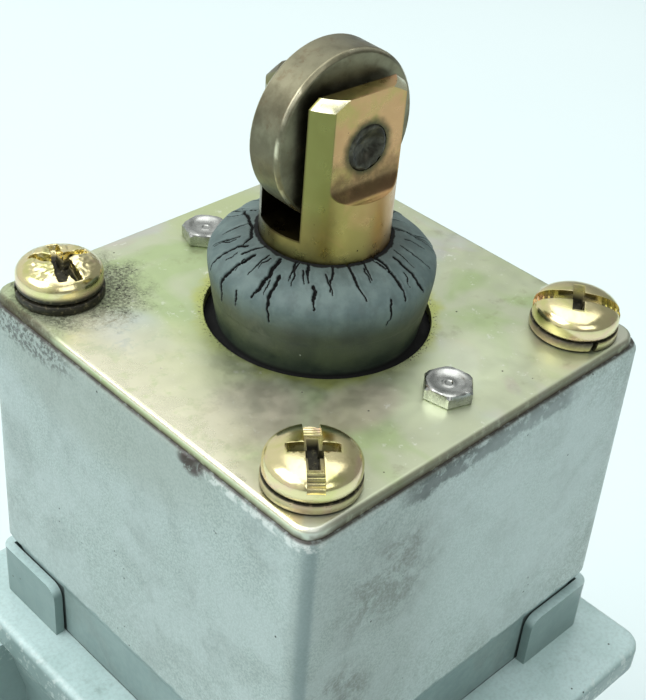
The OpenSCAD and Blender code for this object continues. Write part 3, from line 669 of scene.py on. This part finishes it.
def cut(solid, *cutters):
    """The solid less each cutter."""
    scene = bpy.context.scene.collection
    stand_ins = []
    for index, source in enumerate((solid,) + cutters):
        bmesh.ops.recalc_face_normals(source, faces=source.faces)
        mesh = bpy.data.meshes.new("stand_in")
        source.to_mesh(mesh)
        source.free()
        stand_in = bpy.data.objects.new("stand_in", mesh)
        scene.objects.link(stand_in)
        stand_ins.append(stand_in)
        if index:
            modifier = stand_ins[0].modifiers.new("cut", "BOOLEAN")
            modifier.object = stand_in
            modifier.solver = "EXACT"
    result = bmesh.new()
    result.from_object(stand_ins[0], bpy.context.evaluated_depsgraph_get())
    for stand_in in stand_ins:
        bpy.data.meshes.remove(stand_in.data)
    bmesh.ops.remove_doubles(result, verts=result.verts, dist=0.004)
    return result


def block(low, high, taper=(0, 0)):
    """A box whose lower face is narrower by the taper on each side."""
    bm = bmesh.new()
    tx, ty = taper
    lower = [(low[0] + tx, low[1] + ty), (high[0] - tx, low[1] + ty),
        (high[0] - tx, high[1] - ty), (low[0] + tx, high[1] - ty)]
    upper = [(low[0], low[1]), (high[0], low[1]), (high[0], high[1]), (low[0], high[1])]
    rings = [vertices(bm, ((x, y, z) for x, y in ring)) for ring, z in ((lower, low[2]), (upper, high[2]))]
    join_rings(bm, rings)
    close_ends(bm, rings)
    return bm


def add_piece(name, bm, look, body, *replaced, crease=35, flat_faces=True):
    """Makes the object from a surface in millimetres, and fixes it to its CAD body."""
    bmesh.ops.recalc_face_normals(bm, faces=bm.faces)
    bm.transform(Matrix.Scale(MM, 4))
    mesh = bpy.data.meshes.new(name)
    bm.to_mesh(mesh)
    bm.free()
    mesh.shade_smooth()
    mesh.set_sharp_from_angle(angle=math.radians(crease))
    piece = bpy.data.objects.new(name, mesh)
    bpy.context.scene.collection.objects.link(piece)
    mesh.materials.append(looks[look])
    if flat_faces:
        weighted = piece.modifiers.new("flat_faces", "WEIGHTED_NORMAL")
        weighted.keep_sharp = True
    if body:
        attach(piece, body)
    if replaced:
        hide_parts(*replaced)
    return piece


def mark(piece, name, value_at):
    """Stores a value for each vertex, worked out from its place in millimetres."""
    values = piece.data.attributes.new(name, "FLOAT", "POINT")
    for vertex, item in zip(piece.data.vertices, values.data):
        item.value = value_at(vertex.co / MM)


def smooth_step(value, low, high):
    share = min(max((value - low) / (high - low), 0), 1)
    return share * share * (3 - 2 * share)


def rounded_square(half, corner, count):
    """Points round a square with round corners, at even turns about its centre."""
    points = []
    for k in range(count):
        angle = 2 * math.pi * k / count
        c, s = math.cos(angle), math.sin(angle)
        reach = half / max(abs(c), abs(s))
        x, y = reach * c, reach * s
        inner = half - corner
        if abs(x) > inner and abs(y) > inner:
            # The ray meets the corner's arc, centred at (inner, inner)
            along = inner * (abs(c) + abs(s))
            far = along + math.sqrt(max(along * along - 2 * inner * inner + corner * corner, 0))
            x, y = far * c, far * s
        points.append((x, y))
    return points


# ---------- enclosure ----------

def body_piece():
    """The enclosure with its flange and corner tabs, its edges rounded as cast."""
    bm = cad_surface("body_casting")
    low, high = corners_mm("body_casting")
    flange_half = max(v.co.x for v in bm.verts if v.co.z > FLANGE_TOP - 1 and v.co.y < 0)
    front = low.y

    def flange_rim(edge):
        ends = [v.co for v in edge.verts]
        level = all(abs(c.z - FLANGE_TOP) < 0.01 for c in ends)
        outer = all(abs(c.x) > flange_half - 3.1 or c.y < front + 3.1 or c.y > high.y - 3.1 for c in ends)
        beyond_tabs = all(max(abs(c.x), abs(c.y)) > 27.2 for c in ends)
        return level and outer and beyond_tabs

    def tab_end(edge):
        ends = [v.co for v in edge.verts]
        on_top = all(c.z > FLANGE_TOP + 6 for c in ends)
        return on_top and min(abs(ends[0].x), abs(ends[0].y)) < 18 and edge.calc_length() < 2

    round_edges(bm, 1.7, 6, 40, tab_end, clamp=False)
    round_edges(bm, 1.1, 4, 40, flange_rim)
    round_edges(bm, 0.3, 2, 32)
    piece = add_piece("body_shell", bm, "casting_paint", "housing", "body_casting")

    def wear(place):
        near_rim = max(abs(place.x) - (flange_half - 1.3), front + 1.3 - place.y)
        above = place.z > FLANGE_TOP - 3.9
        return smooth_step(near_rim, 0, 1.0) if above else 0.0

    mark(piece, "wear", wear)


def cover_piece():
    bm = cad_surface("front_cover")
    round_edges(bm, 0.5, 3, 40)
    add_piece("cover_shell", bm, "casting_paint", "housing", "front_cover")


def soft_edged(node, name, look, body, width, segments=2, crease=35):
    """A CAD node with its edges rounded."""
    bm = cad_surface(node)
    round_edges(bm, width, segments)
    return add_piece(name, bm, look, body, node, crease=crease)


# ---------- head ----------

def head_piece():
    """The square head: slight draft, a rounded top edge and an undercut band over the flange."""
    sides = 288
    foot = HEAD_HALF - 0.8
    wide = HEAD_HALF + 0.15
    narrow = HEAD_HALF - 0.1
    edge_r = 0.75
    corner_r = 2.0
    levels = [(FLANGE_TOP + 0.04, foot - 0.1), (BAND_TOP - 2.4, foot), (BAND_TOP - 1.6, foot + 0.08),
        (BAND_TOP - 0.9, foot + 0.35), (BAND_TOP - 0.3, foot + 0.72), (BAND_TOP + 0.2, wide - 0.03),
        (BAND_TOP + 0.7, wide), (HEAD_TOP - 12, narrow + 0.08), (HEAD_TOP - 3, narrow + 0.02),
        (HEAD_TOP - 1.9, narrow + 0.01), (HEAD_TOP - 1.3, narrow), (HEAD_TOP - edge_r, narrow)]
    outline = [(z, half, corner_r) for z, half in levels]
    for step in range(1, 6):
        angle = math.radians(18 * step)
        inward = edge_r * math.cos(angle) - edge_r
        outline.append((HEAD_TOP - edge_r + edge_r * math.sin(angle), narrow + inward, corner_r + inward + 0.2))
    bm = bmesh.new()
    rings = [vertices(bm, ((x, y, z) for x, y in rounded_square(half, corner, sides)))
        for z, half, corner in outline]
    for radius, z in ((HEAD_BORE_R + 0.2, HEAD_TOP), (HEAD_BORE_R, HEAD_TOP - 0.2), (HEAD_BORE_R, HEAD_TOP - 4),
            (HEAD_BORE_R, FLANGE_TOP + 1), (HEAD_BORE_R, FLANGE_TOP + 0.04)):
        rings.append(vertices(bm, circle(radius, z, sides)))
    join_rings(bm, rings, closed=True)
    for vertex in bm.verts:
        x, y, z = place = vertex.co.copy()
        # The top edge is knocked and uneven
        edge = smooth_step(z, HEAD_TOP - 1.4, HEAD_TOP - 0.5) * smooth_step(max(abs(x), abs(y)), 25.0, 25.4)
        knock = noise.noise(place * 0.55) + 0.5 * noise.noise(place * 1.7)
        dent = math.exp(-((y - NICK_Y) / 0.8) ** 2) * (x < -24)
        vertex.co -= Vector((x, y, 0)).normalized() * edge * (0.07 * knock + 0.35 * dent)
        vertex.co.z -= edge * (0.06 * abs(knock) + 0.3 * dent)
    piece = add_piece("head_shell", bm, "head_paint", "housing", "head_casting")
    mark(piece, "wear", lambda p: smooth_step(p.z, HEAD_TOP - 1.4, HEAD_TOP - 0.6)
        * smooth_step(p.z, HEAD_TOP, HEAD_TOP - 0.3))

    def seam(place):
        outward = max(abs(place.x), abs(place.y))
        under_plate = smooth_step(place.z, HEAD_TOP - 0.35, HEAD_TOP - 0.12) * smooth_step(outward, 25.9, 25.75)
        nick = math.exp(-((place.y - NICK_Y) / 1.3) ** 2) * smooth_step(place.z, HEAD_TOP - 1.4, HEAD_TOP - 0.8)
        return max(under_plate, nick * (place.x < -25))

    mark(piece, "seam", seam)


def plate_piece():
    """The yellow plate: a stamped sheet with a rolled top edge, fitted a little off the centre."""
    bm = bmesh.new()
    shift = Vector((-0.2, -0.15, 0))
    corner_r = 2.2
    boot_hole_r, screw_hole_r, bolt_hole_r = 12.55, 2.75, 1.7
    outlines = [[Vector((x, y, PLATE_TOP)) + shift for x, y in rounded_square(PLATE_HALF, corner_r, 320)],
        circle(boot_hole_r, PLATE_TOP, 128)]
    outlines += [circle(screw_hole_r, PLATE_TOP, 32, (sx * SCREW_AT, sy * SCREW_AT))
        for sx in (-1, 1) for sy in (-1, 1)]
    outlines += [circle(bolt_hole_r, PLATE_TOP, 24, (0, sy * BOLT_AT)) for sy in (-1, 1)]
    edges = []
    for outline in outlines:
        ring = vertices(bm, outline)
        edges += [bm.edges.new((a, b)) for a, b in zip(ring, ring[1:] + ring[:1])]
    bmesh.ops.triangle_fill(bm, use_beauty=True, use_dissolve=False, edges=edges)
    walls = bmesh.ops.extrude_face_region(bm, geom=bm.faces[:])
    lower = [v for v in walls["geom"] if isinstance(v, bmesh.types.BMVert)]
    bmesh.ops.translate(bm, verts=lower, vec=(0, 0, HEAD_TOP - PLATE_TOP))
    bmesh.ops.recalc_face_normals(bm, faces=bm.faces)

    def level(edge):
        return all(abs(v.co.z - PLATE_TOP) < 0.01 for v in edge.verts)

    def outer(edge):
        return all(max(abs(v.co.x), abs(v.co.y)) > PLATE_HALF - 2.6 for v in edge.verts)

    round_edges(bm, 0.5, 4, 60, lambda e: level(e) and outer(e))
    round_edges(bm, 0.14, 2, 60, lambda e: not outer(e))
    piece = add_piece("plate", bm, "yellow_zinc_plate", "housing", "head_plate")

    def seam(place):
        """Darker on the lower half of the edge, and over all of it along the front and at the left corner."""
        low = smooth_step(place.z, PLATE_TOP - 0.45, PLATE_TOP - 0.85)
        rim = smooth_step(max(-place.y, -place.x, place.x), 24.95, 25.2)
        front = smooth_step(-place.y, 25.1, 25.35) * smooth_step(place.x, -25.2, -21)
        corner = smooth_step(place.y, 11, 17) * smooth_step(-place.x, 24.95, 25.3)
        return max(low * rim, 0.7 * front, 0.8 * corner)

    mark(piece, "seam", seam)
    # The rim attribute carries the painted highlight along the left edge
    mark(piece, "rim", lambda p: smooth_step(-p.x, 24.75, 25.0) * smooth_step(p.y, 14, 9)
        * smooth_step(p.z, PLATE_TOP - 0.5, PLATE_TOP - 0.3))


def screw_head_outline():
    """Pan head, from its underside up to the middle of its domed top."""
    points = [(0, 0), (SCREW_R - 0.5, 0), (SCREW_R - 0.18, 0.08), (SCREW_R - 0.03, 0.28), (SCREW_R, 0.55),
        (SCREW_R, 0.95)]
    for step in range(1, 13):
        angle = math.radians(7.5 * step)
        across = math.cos(angle) ** 0.78 if step < 12 else 0
        points.append((SCREW_R * across, DOME_FOOT + DOME_RISE * math.sin(angle) ** 0.85))
    return points


def slot_cutter():
    """The driving slot: its floor runs out at both ends in small ribs."""
    half_width = 0.85
    floor = [(0, 1.95), (2.6, 1.95)]
    for rib in range(4):
        start = 2.75 + 0.58 * rib
        drop = 1.8 - 0.16 * rib
        floor += [(start, drop - 0.16), (start + 0.18, drop - 0.16), (start + 0.32, drop + 0.04),
            (start + 0.46, drop + 0.04)]
    floor.append((6, 1.1))
    outline = [(-x, z) for x, z in reversed(floor[1:])] + floor + [(6, 5), (-6, 5)]
    bm = bmesh.new()
    rings = [vertices(bm, ((x, side * half_width, z) for x, z in outline)) for side in (-1, 1)]
    join_rings(bm, rings)
    close_ends(bm, rings)
    return bm


def screw_head():
    """Pan head with a slot and a cross recess."""
    cross = [block((-2.7, -0.68, 0.9), (2.7, 0.68, 3.4), (0.9, 0.2)),
        block((-0.68, -2.7, 0.9), (0.68, 2.7, 3.4), (0.2, 0.9))]
    bm = cut(lathe(screw_head_outline(), 72), slot_cutter(), *cross)
    round_edges(bm, 0.09, 2, 38)
    return bm


def dirt_and_shade_on_screw(place, grime):
    """How deep a point lies under the screw's dome, and how low on its flank: painted shade in the recess, grime
    and painted shade on the flank.
    """
    radius = min(math.hypot(place.x, place.y) / SCREW_R, 1)
    dome = DOME_FOOT + DOME_RISE * math.sqrt(max(1 - radius ** 2.4, 0))
    flank = smooth_step(place.z, 0.9 + 0.6 * grime, 0.2) * smooth_step(radius, 0.86, 0.97)
    recess = smooth_step(dome - place.z, 0.45, 1.3) * (radius < 0.95)
    return max(grime * flank, recess)


# Arms of the torn cross: direction in degrees, reach and half width in millimetres, and the web after each
TORN_ARMS = [(130, 3.5, 0.45, 1.25), (71, 3.7, 0.6, 1.3), (-3, 3.9, 0.45, 1.15), (-92, 4.5, 0.5, 3.2),
    (-120, 4.2, 0.45, 1.1)]


def torn_cross():
    """A cross recess that a slipping driver has opened into a ragged star, narrower at its foot."""
    star = []
    for (turn, reach, half, web), following in zip(TORN_ARMS, TORN_ARMS[1:] + TORN_ARMS[:1]):
        spread = math.degrees(half / reach)
        for angle in (turn + spread, turn - spread):
            star.append((reach, math.radians(angle)))
        gap = (turn - following[0]) % 360
        star.append((web, math.radians(turn - gap / 2)))
    bm = bmesh.new()
    rings = [vertices(bm, ((r * share * math.cos(a), r * share * math.sin(a), z) for r, a in star))
        for share, z in ((0.45, 0.9), (0.85, 1.9), (1.1, 3.4))]
    join_rings(bm, rings)
    close_ends(bm, rings)
    return bm


def battered_head():
    """The worn screw: its recess torn open, the metal between its arms pushed about."""
    bm = remeshed(cut(lathe(screw_head_outline(), 72), torn_cross()), 0.085)
    for vertex in bm.verts:
        place = vertex.co
        if place.z < 1.2:
            continue
        worn = smooth_step(math.hypot(place.x, place.y), 4.5, 2.4)
        wide = noise.noise_vector(place * 0.55 + Vector((3.1, 7.7, 1.3)))
        vertex.co += (0.30 * wide + 0.11 * noise.noise_vector(place * 1.9)) * worn
    bm.transform(Matrix.Diagonal((1, 1, 1.1, 1)))
    return bm


def remeshed(bm, voxel):
    """The surface as a fine even net, so that it can be dented."""
    mesh = bpy.data.meshes.new("stand_in")
    bm.to_mesh(mesh)
    bm.free()
    stand_in = bpy.data.objects.new("stand_in", mesh)
    bpy.context.scene.collection.objects.link(stand_in)
    modifier = stand_in.modifiers.new("net", "REMESH")
    modifier.mode = "VOXEL"
    modifier.voxel_size = voxel
    result = bmesh.new()
    result.from_object(stand_in, bpy.context.evaluated_depsgraph_get())
    bpy.data.meshes.remove(mesh)
    return result


def fix_on_head(piece, place, turn):
    """Puts an upright piece at its place in millimetres, turned by degrees."""
    piece.matrix_world = Matrix.Translation(Vector(place) * MM) @ Matrix.Rotation(math.radians(turn), 4, "Z")
    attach(piece, "housing")


# Place of each corner screw, the turn of its slot and of its washer's split in degrees, and its grime
SCREWS = {"front": (-1, -1, -130, 60, 0.45), "right": (1, -1, -54, -118, 0.35), "left": (-1, 1, 0, 150, 1.0),
    "back": (1, 1, 25, 10, 0.4)}


def screw_pieces():
    for name, (sx, sy, slot_turn, split_turn, grime) in SCREWS.items():
        bm = battered_head() if name == "left" else screw_head()
        shank = lathe([(0, -12), (2.1, -12), (2.1, 0.2), (0, 0.2)], 32)
        shank_mesh = bpy.data.meshes.new("shank")
        shank.to_mesh(shank_mesh)
        shank.free()
        bm.from_mesh(shank_mesh)
        bpy.data.meshes.remove(shank_mesh)
        piece = add_piece("head_screw_" + name, bm, "yellow_zinc_screws", None, "head_screws", crease=40)
        mark(piece, "dirt_and_shade", lambda place: dirt_and_shade_on_screw(place, grime))
        fix_on_head(piece, (sx * SCREW_AT, sy * SCREW_AT, WASHER_TOP), slot_turn)
        washer_piece(name, sx, sy, split_turn, grime)


def washer_piece(name, sx, sy, split_turn, grime):
    """A split spring washer: one turn of square wire, its two ends a little apart."""
    steps = 90
    inner, outer, thick, rise, soft = 2.6, 4.9, 1.08, 0.1, 0.14
    section = [(inner, 0), (outer - soft, 0), (outer, soft), (outer, thick - soft), (outer - soft, thick),
        (inner, thick)]
    gap = skew = math.radians(4)
    bm = bmesh.new()
    rings = []
    for k in range(steps + 1):
        angle = gap + (2 * math.pi - 2 * gap) * k / steps
        rings.append(vertices(bm, ((r * math.cos(angle + skew * z), r * math.sin(angle + skew * z),
            z + rise * k / steps) for r, z in section)))
    join_rings(bm, rings)
    close_ends(bm, rings)
    piece = add_piece("spring_washer_" + name, bm, "yellow_zinc_screws", None, "spring_washers", crease=50)
    # Painted shade under the washer and under the screw's head, and grime over the whole washer
    mark(piece, "dirt_and_shade", lambda p: max(smooth_step(p.z, 0.4, 0.0), smooth_step(p.z, 0.9, 1.1), grime * 0.9))
    fix_on_head(piece, (sx * SCREW_AT, sy * SCREW_AT, PLATE_TOP), split_turn)


def bolt_piece(name, sy, turn):
    """A small hexagon head with a chamfered, dished top and a round mark in it."""
    sides = 96
    height = BOLT_TOP - PLATE_TOP
    flat = BOLT_R * math.cos(math.radians(30))

    def hexagon(angle, inset=0.0):
        return (flat - inset) / math.cos((angle + math.pi / 6) % (math.pi / 3) - math.pi / 6)

    rows = [lambda a: (hexagon(a, 0.12), 0.0), lambda a: (hexagon(a), 0.12),
        lambda a: (hexagon(a), height - 0.2 - 0.55 * (hexagon(a) - flat)),
        lambda a: (min(hexagon(a, 0.06), flat + 0.12), height - 0.08)]
    dish = ((flat - 0.12, 0.0), (flat - 0.5, 0.0), (flat - 0.75, 0.12), (1.1, 0.26), (0.75, 0.26), (0.62, 0.2),
        (0.45, 0.2), (0.32, 0.28), (0, 0.3))
    bm = bmesh.new()
    rings = []
    for row in rows:
        turns = [(2 * math.pi * k / sides, *row(2 * math.pi * k / sides)) for k in range(sides)]
        rings.append(vertices(bm, ((r * math.cos(a), r * math.sin(a), z) for a, r, z in turns)))
    rings += [vertices(bm, circle(radius, height - drop, sides)) for radius, drop in dish]
    join_rings(bm, rings)
    bm.faces.new(rings[0][::-1])
    piece = add_piece(name, bm, "plated_steel", None, "plate_bolts", crease=28)
    fix_on_head(piece, (0, sy * BOLT_AT, PLATE_TOP), turn)


# ---------- boot ----------

# The boot's outside (radius, height over the plate), from the lip on the plunger down into the hole
BOOT_WALL = [(7.05, 10.3), (7.8, 10.12), (8.8, 9.76), (10.0, 9.2), (10.9, 8.75), (11.65, 8.2), (12.15, 7.5),
    (12.3, 6.7), (12.15, 5.2), (11.75, 2.6), (11.3, 0.0), (11.25, -0.7)]
# Its foot under the plate, and its inside up to the lip again
BOOT_INSIDE = [(11.5, -1.2), (12.0, -1.29), (16.4, -1.3), (16.4, -2.9), (10.2, -2.9), (10.3, 1.0), (10.9, 5.0),
    (10.6, 6.9), (9.7, 8.0), (8.4, 8.6), (7.06, 8.7)]


def smooth_path(points, step):
    """Points about that far apart on a smooth curve through the given ones."""
    padded = [points[0]] + points + [points[-1]]
    path = []
    for before, start, end, after in zip(padded, padded[1:], padded[2:], padded[3:]):
        count = max(round(math.dist(start, end) / step), 1)
        for k in range(count):
            t = k / count
            path.append(tuple(0.5 * (2 * b + (c - a) * t + (2 * a - 5 * b + 4 * c - d) * t ** 2
                + (3 * b - a - 3 * c + d) * t ** 3) for a, b, c, d in zip(before, start, end, after)))
    return path + [points[-1]]


# Main cracks: width in millimetres, then points of (angle about the plunger, distance down from the lip)
CRACKS = [(0.50, (-170, 0.7), (-168, 2.9), (-170, 5.9)), (0.40, (-163, 2.5), (-160, 7.8)),
    (0.52, (172, 1.9), (169, 5.4), (168, 8.7)), (0.34, (160, 1.7), (156, 2.7), (155, 6.6)),
    (0.34, (164, 2.6), (171, 0.1)), (0.28, (106, 4.9), (110, 2.7)),
    (0.36, (110, 2.7), (123, 1.2), (139, 0.6), (153, 0.9), (157, 2.1)),
    (0.25, (110, 1.9), (112, 1.0)), (0.34, (-146, 0.4), (-144, 2.5)), (0.36, (-140, 2.9), (-138, 5.5)),
    (0.22, (-156, 0.2), (-156, 2.4)), (0.30, (-114, 0.1), (-112, 4.6)), (0.50, (-88, 0.1), (-86, 1.5), (-90, 5.8)),
    (0.46, (-74, 1.4), (-76, 5.3), (-75, 6.2)), (0.36, (-34, 0.2), (-38, 5.0)), (0.22, (-58, 1.2), (-60, 5.1)),
    (0.30, (-4, 2.9), (-3, 4.6)), (0.22, (-98, 5.2), (-101, 8.0)), (0.2, (180, 6.0), (180, 7.8)),
    (0.22, (-128, 0.2), (-130, 3.4)), (0.2, (-101, 0.1), (-103, 2.6)), (0.22, (146, 2.0), (143, 5.2))]


def all_cracks():
    """The main cracks, with more on the back and fine ones between them."""
    rng = random.Random(11)
    cracks = list(CRACKS)
    for start in range(8, 100, 12):
        angle = start + rng.uniform(-4, 4)
        cracks.append((rng.uniform(0.22, 0.5), (angle, rng.uniform(0.1, 1.2)),
            (angle + rng.uniform(-6, 6), rng.uniform(4.5, 7.5))))
    for _ in range(34):
        angle = rng.uniform(-180, 180)
        top = rng.uniform(0.1, 3.5)
        cracks.append((rng.uniform(0.10, 0.16), (angle, top),
            (angle + rng.uniform(-4, 4), top + rng.uniform(1.2, 3.2))))
    return cracks


def boot_piece():
    """The rubber boot, with its cracks opened in the surface."""
    sides = 800
    wall = smooth_path(BOOT_WALL, 0.1)
    outline = wall + BOOT_INSIDE
    down = [0.0]
    for a, b in zip(wall, wall[1:]):
        down.append(down[-1] + math.dist(a, b))

    def on_surface(angle, distance):
        k = next(k for k in range(1, len(down)) if down[k] >= distance)
        share = (distance - down[k - 1]) / (down[k] - down[k - 1])
        radius, height = (a + share * (b - a) for a, b in zip(wall[k - 1], wall[k]))
        return Vector((radius * math.cos(angle), radius * math.sin(angle), PLATE_TOP + height))

    marks = []
    for number, (width, *points) in enumerate(all_cracks()):
        last = len(points) - 2
        for leg, ((a0, d0), (a1, d1)) in enumerate(zip(points, points[1:])):
            length = (on_surface(math.radians(a0), d0) - on_surface(math.radians(a1), d1)).length
            steps = max(int(length * 16), 8)
            for k in range(steps + 1):
                share = k / steps
                along = leg + share
                wander = noise.noise(Vector((along * 2.2, number * 5.3, 0))) + 0.4 * noise.noise(
                    Vector((along * 9, number * 3.1, 4)))
                ragged = 0.8 + 0.5 * noise.noise(Vector((along * 14, number * 2.7, 9)))
                taper = smooth_step(share, 1.05, 0.45) if leg == last else 1
                angle = math.radians(a0 + (a1 - a0) * share + 1.5 * wander)
                distance = max(d0 + (d1 - d0) * share + 0.15 * wander, 0.05)
                marks.append((on_surface(angle, distance), 0.85 * width * ragged * max(taper, 0.42)))
    tree = kdtree.KDTree(len(marks))
    for index, (point, _) in enumerate(marks):
        tree.insert(point, index)
    tree.balance()

    bm = bmesh.new()
    openness = bm.verts.layers.float.new("crack")
    rings = [vertices(bm, circle(r, PLATE_TOP + z, sides)) for r, z in outline]
    middle = Vector((0, 0, PLATE_TOP + 3))
    cracked_depth = 10
    for ring, depth in zip(rings, down):
        if depth > cracked_depth:
            break
        for vertex in ring:
            place = vertex.co.copy()
            _, index, distance = tree.find(place)
            half = marks[index][1] * 0.5
            open_here = smooth_step(distance, half * 1.4 + 0.05, half * 0.5)
            vertex[openness] = open_here
            radial = Vector((place.x, place.y, 0))
            inward = (middle + radial * 0.6 - place).normalized()
            swell = 0.09 * noise.noise(place * 0.28) + 0.03 * noise.noise(place * 0.9)
            lips = 0.07 * smooth_step(distance, half + 0.55, half + 0.1) * (1 - open_here)
            raised = (swell + lips) * smooth_step(depth, 0, 0.5)
            vertex.co = place + inward * (open_here * min(half * 2.2, 0.5) - raised)
    join_rings(bm, rings, closed=True)
    piece = add_piece("boot_skin", bm, "boot_rubber", None, "boot", crease=60, flat_faces=False)
    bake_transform(piece)


# ---------- plunger and roller ----------

def plunger_piece():
    soft_edged("plunger", "plunger_bar", "yellow_zinc_bar", "plunger", 0.14, 3)


def roller_piece():
    """The roller, with the wear of its two rims, which also marks their painted highlight."""
    piece = soft_edged("roller", "roller_wheel", "roller_steel", "roller", 0.12, 2)
    middle = (roller_low.y + roller_high.y) / 2

    def wear(place):
        turn_back = Matrix.Rotation(-EAR_TURN, 3, "Z")
        local = turn_back @ Vector((place.x, place.y - middle, place.z - ROLLER_Z))
        reach = math.hypot(local.x, local.z)
        worn = smooth_step(noise.noise(place * 0.35), -0.2, 0.1)
        rim = smooth_step(reach, ROLLER_R - 0.28, ROLLER_R - 0.2)
        return worn * rim * smooth_step(reach, ROLLER_R - 0.01, ROLLER_R - 0.06)

    mark(piece, "wear", wear)


def pin_piece():
    """The roller's pin, its ends spread by staking."""
    half = 5.2
    radius = 2.5
    end = ((0.99, -0.35), (1.02, -0.1), (0.95, 0.08), (0.86, 0.12), (0.76, 0.06), (0.66, -0.06), (0.56, -0.2),
        (0.44, -0.36), (0.3, -0.5), (0.15, -0.56), (0, -0.58))
    rim = [(radius * share, half + lift) for share, lift in end]
    bm = lathe([(r, -z) for r, z in reversed(rim)] + rim, 64)
    for vertex in bm.verts:
        if abs(vertex.co.z) > half - 1:
            uneven = noise.noise(vertex.co * 0.7 + Vector((0, 5, 0))) + 0.5 * noise.noise(vertex.co * 1.6)
            vertex.co.z -= math.copysign(0.34 * uneven, vertex.co.z)
    piece = add_piece("roller_pin_staked", bm, "pin_steel", None, "roller_pin", crease=50, flat_faces=False)
    piece.matrix_world = (Matrix.Translation((0, 0, ROLLER_Z * MM)) @ Matrix.Rotation(EAR_TURN, 4, "Z")
        @ Matrix.Rotation(math.radians(90), 4, "X"))
    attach(piece, "plunger")


def spring_piece(node, name, wire, turns):
    """A wire spring inside its CAD stand-in, as tall as the stand-in."""
    low, high = corners_mm(node)
    radius = high.x - wire / 2
    sections, around = 40, 12
    count = int(turns * sections)
    bm = bmesh.new()
    rings = []
    for step in range(count + 1):
        angle = 2 * math.pi * step / sections
        # The end turns lie flat
        rise = smooth_step(step, sections * 0.4, count - sections * 0.4)
        middle = low.z + wire / 2 + (high.z - low.z - wire) * rise
        turn = Matrix.Rotation(angle, 3, "Z")
        section = circle(wire / 2, 0, around)
        rings.append(vertices(bm, (turn @ Vector((radius + p.x, 0, middle + p.y)) for p in section)))
    join_rings(bm, rings)
    close_ends(bm, rings)
    piece = add_piece(name, bm, "spring_steel", "housing", node, crease=60, flat_faces=False)
    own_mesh(piece)


def floor_piece():
    bm = bmesh.new()
    bmesh.ops.create_grid(bm, x_segments=1, y_segments=1, size=3)
    mesh = bpy.data.meshes.new("floor")
    bm.to_mesh(mesh)
    bm.free()
    floor = bpy.data.objects.new("floor", mesh)
    floor.location.z = -0.02 * MM
    bpy.context.scene.collection.objects.link(floor)
    look = Look("floor", roughness=0.7)
    look.colour = look.mix(look.noise(160, 2), srgb(214, 229, 230), srgb(218, 232, 233))
    mesh.materials.append(look.finish(0.7))


make_camera()
make_light()
floor_piece()
dress_cad_nodes()
body_piece()
cover_piece()
head_piece()
plate_piece()
screw_pieces()
bolt_piece("plate_bolt_front", -1, 12)
bolt_piece("plate_bolt_back", 1, 40)
boot_piece()
plunger_piece()
roller_piece()
pin_piece()
soft_edged("cover_screws", "cover_screws_worn", "plated_steel", "housing", 0.15)
spring_piece("return_spring", "return_spring_coil", 1.6, 5.5)
spring_piece("carrier_spring", "carrier_spring_coil", 0.6, 6)
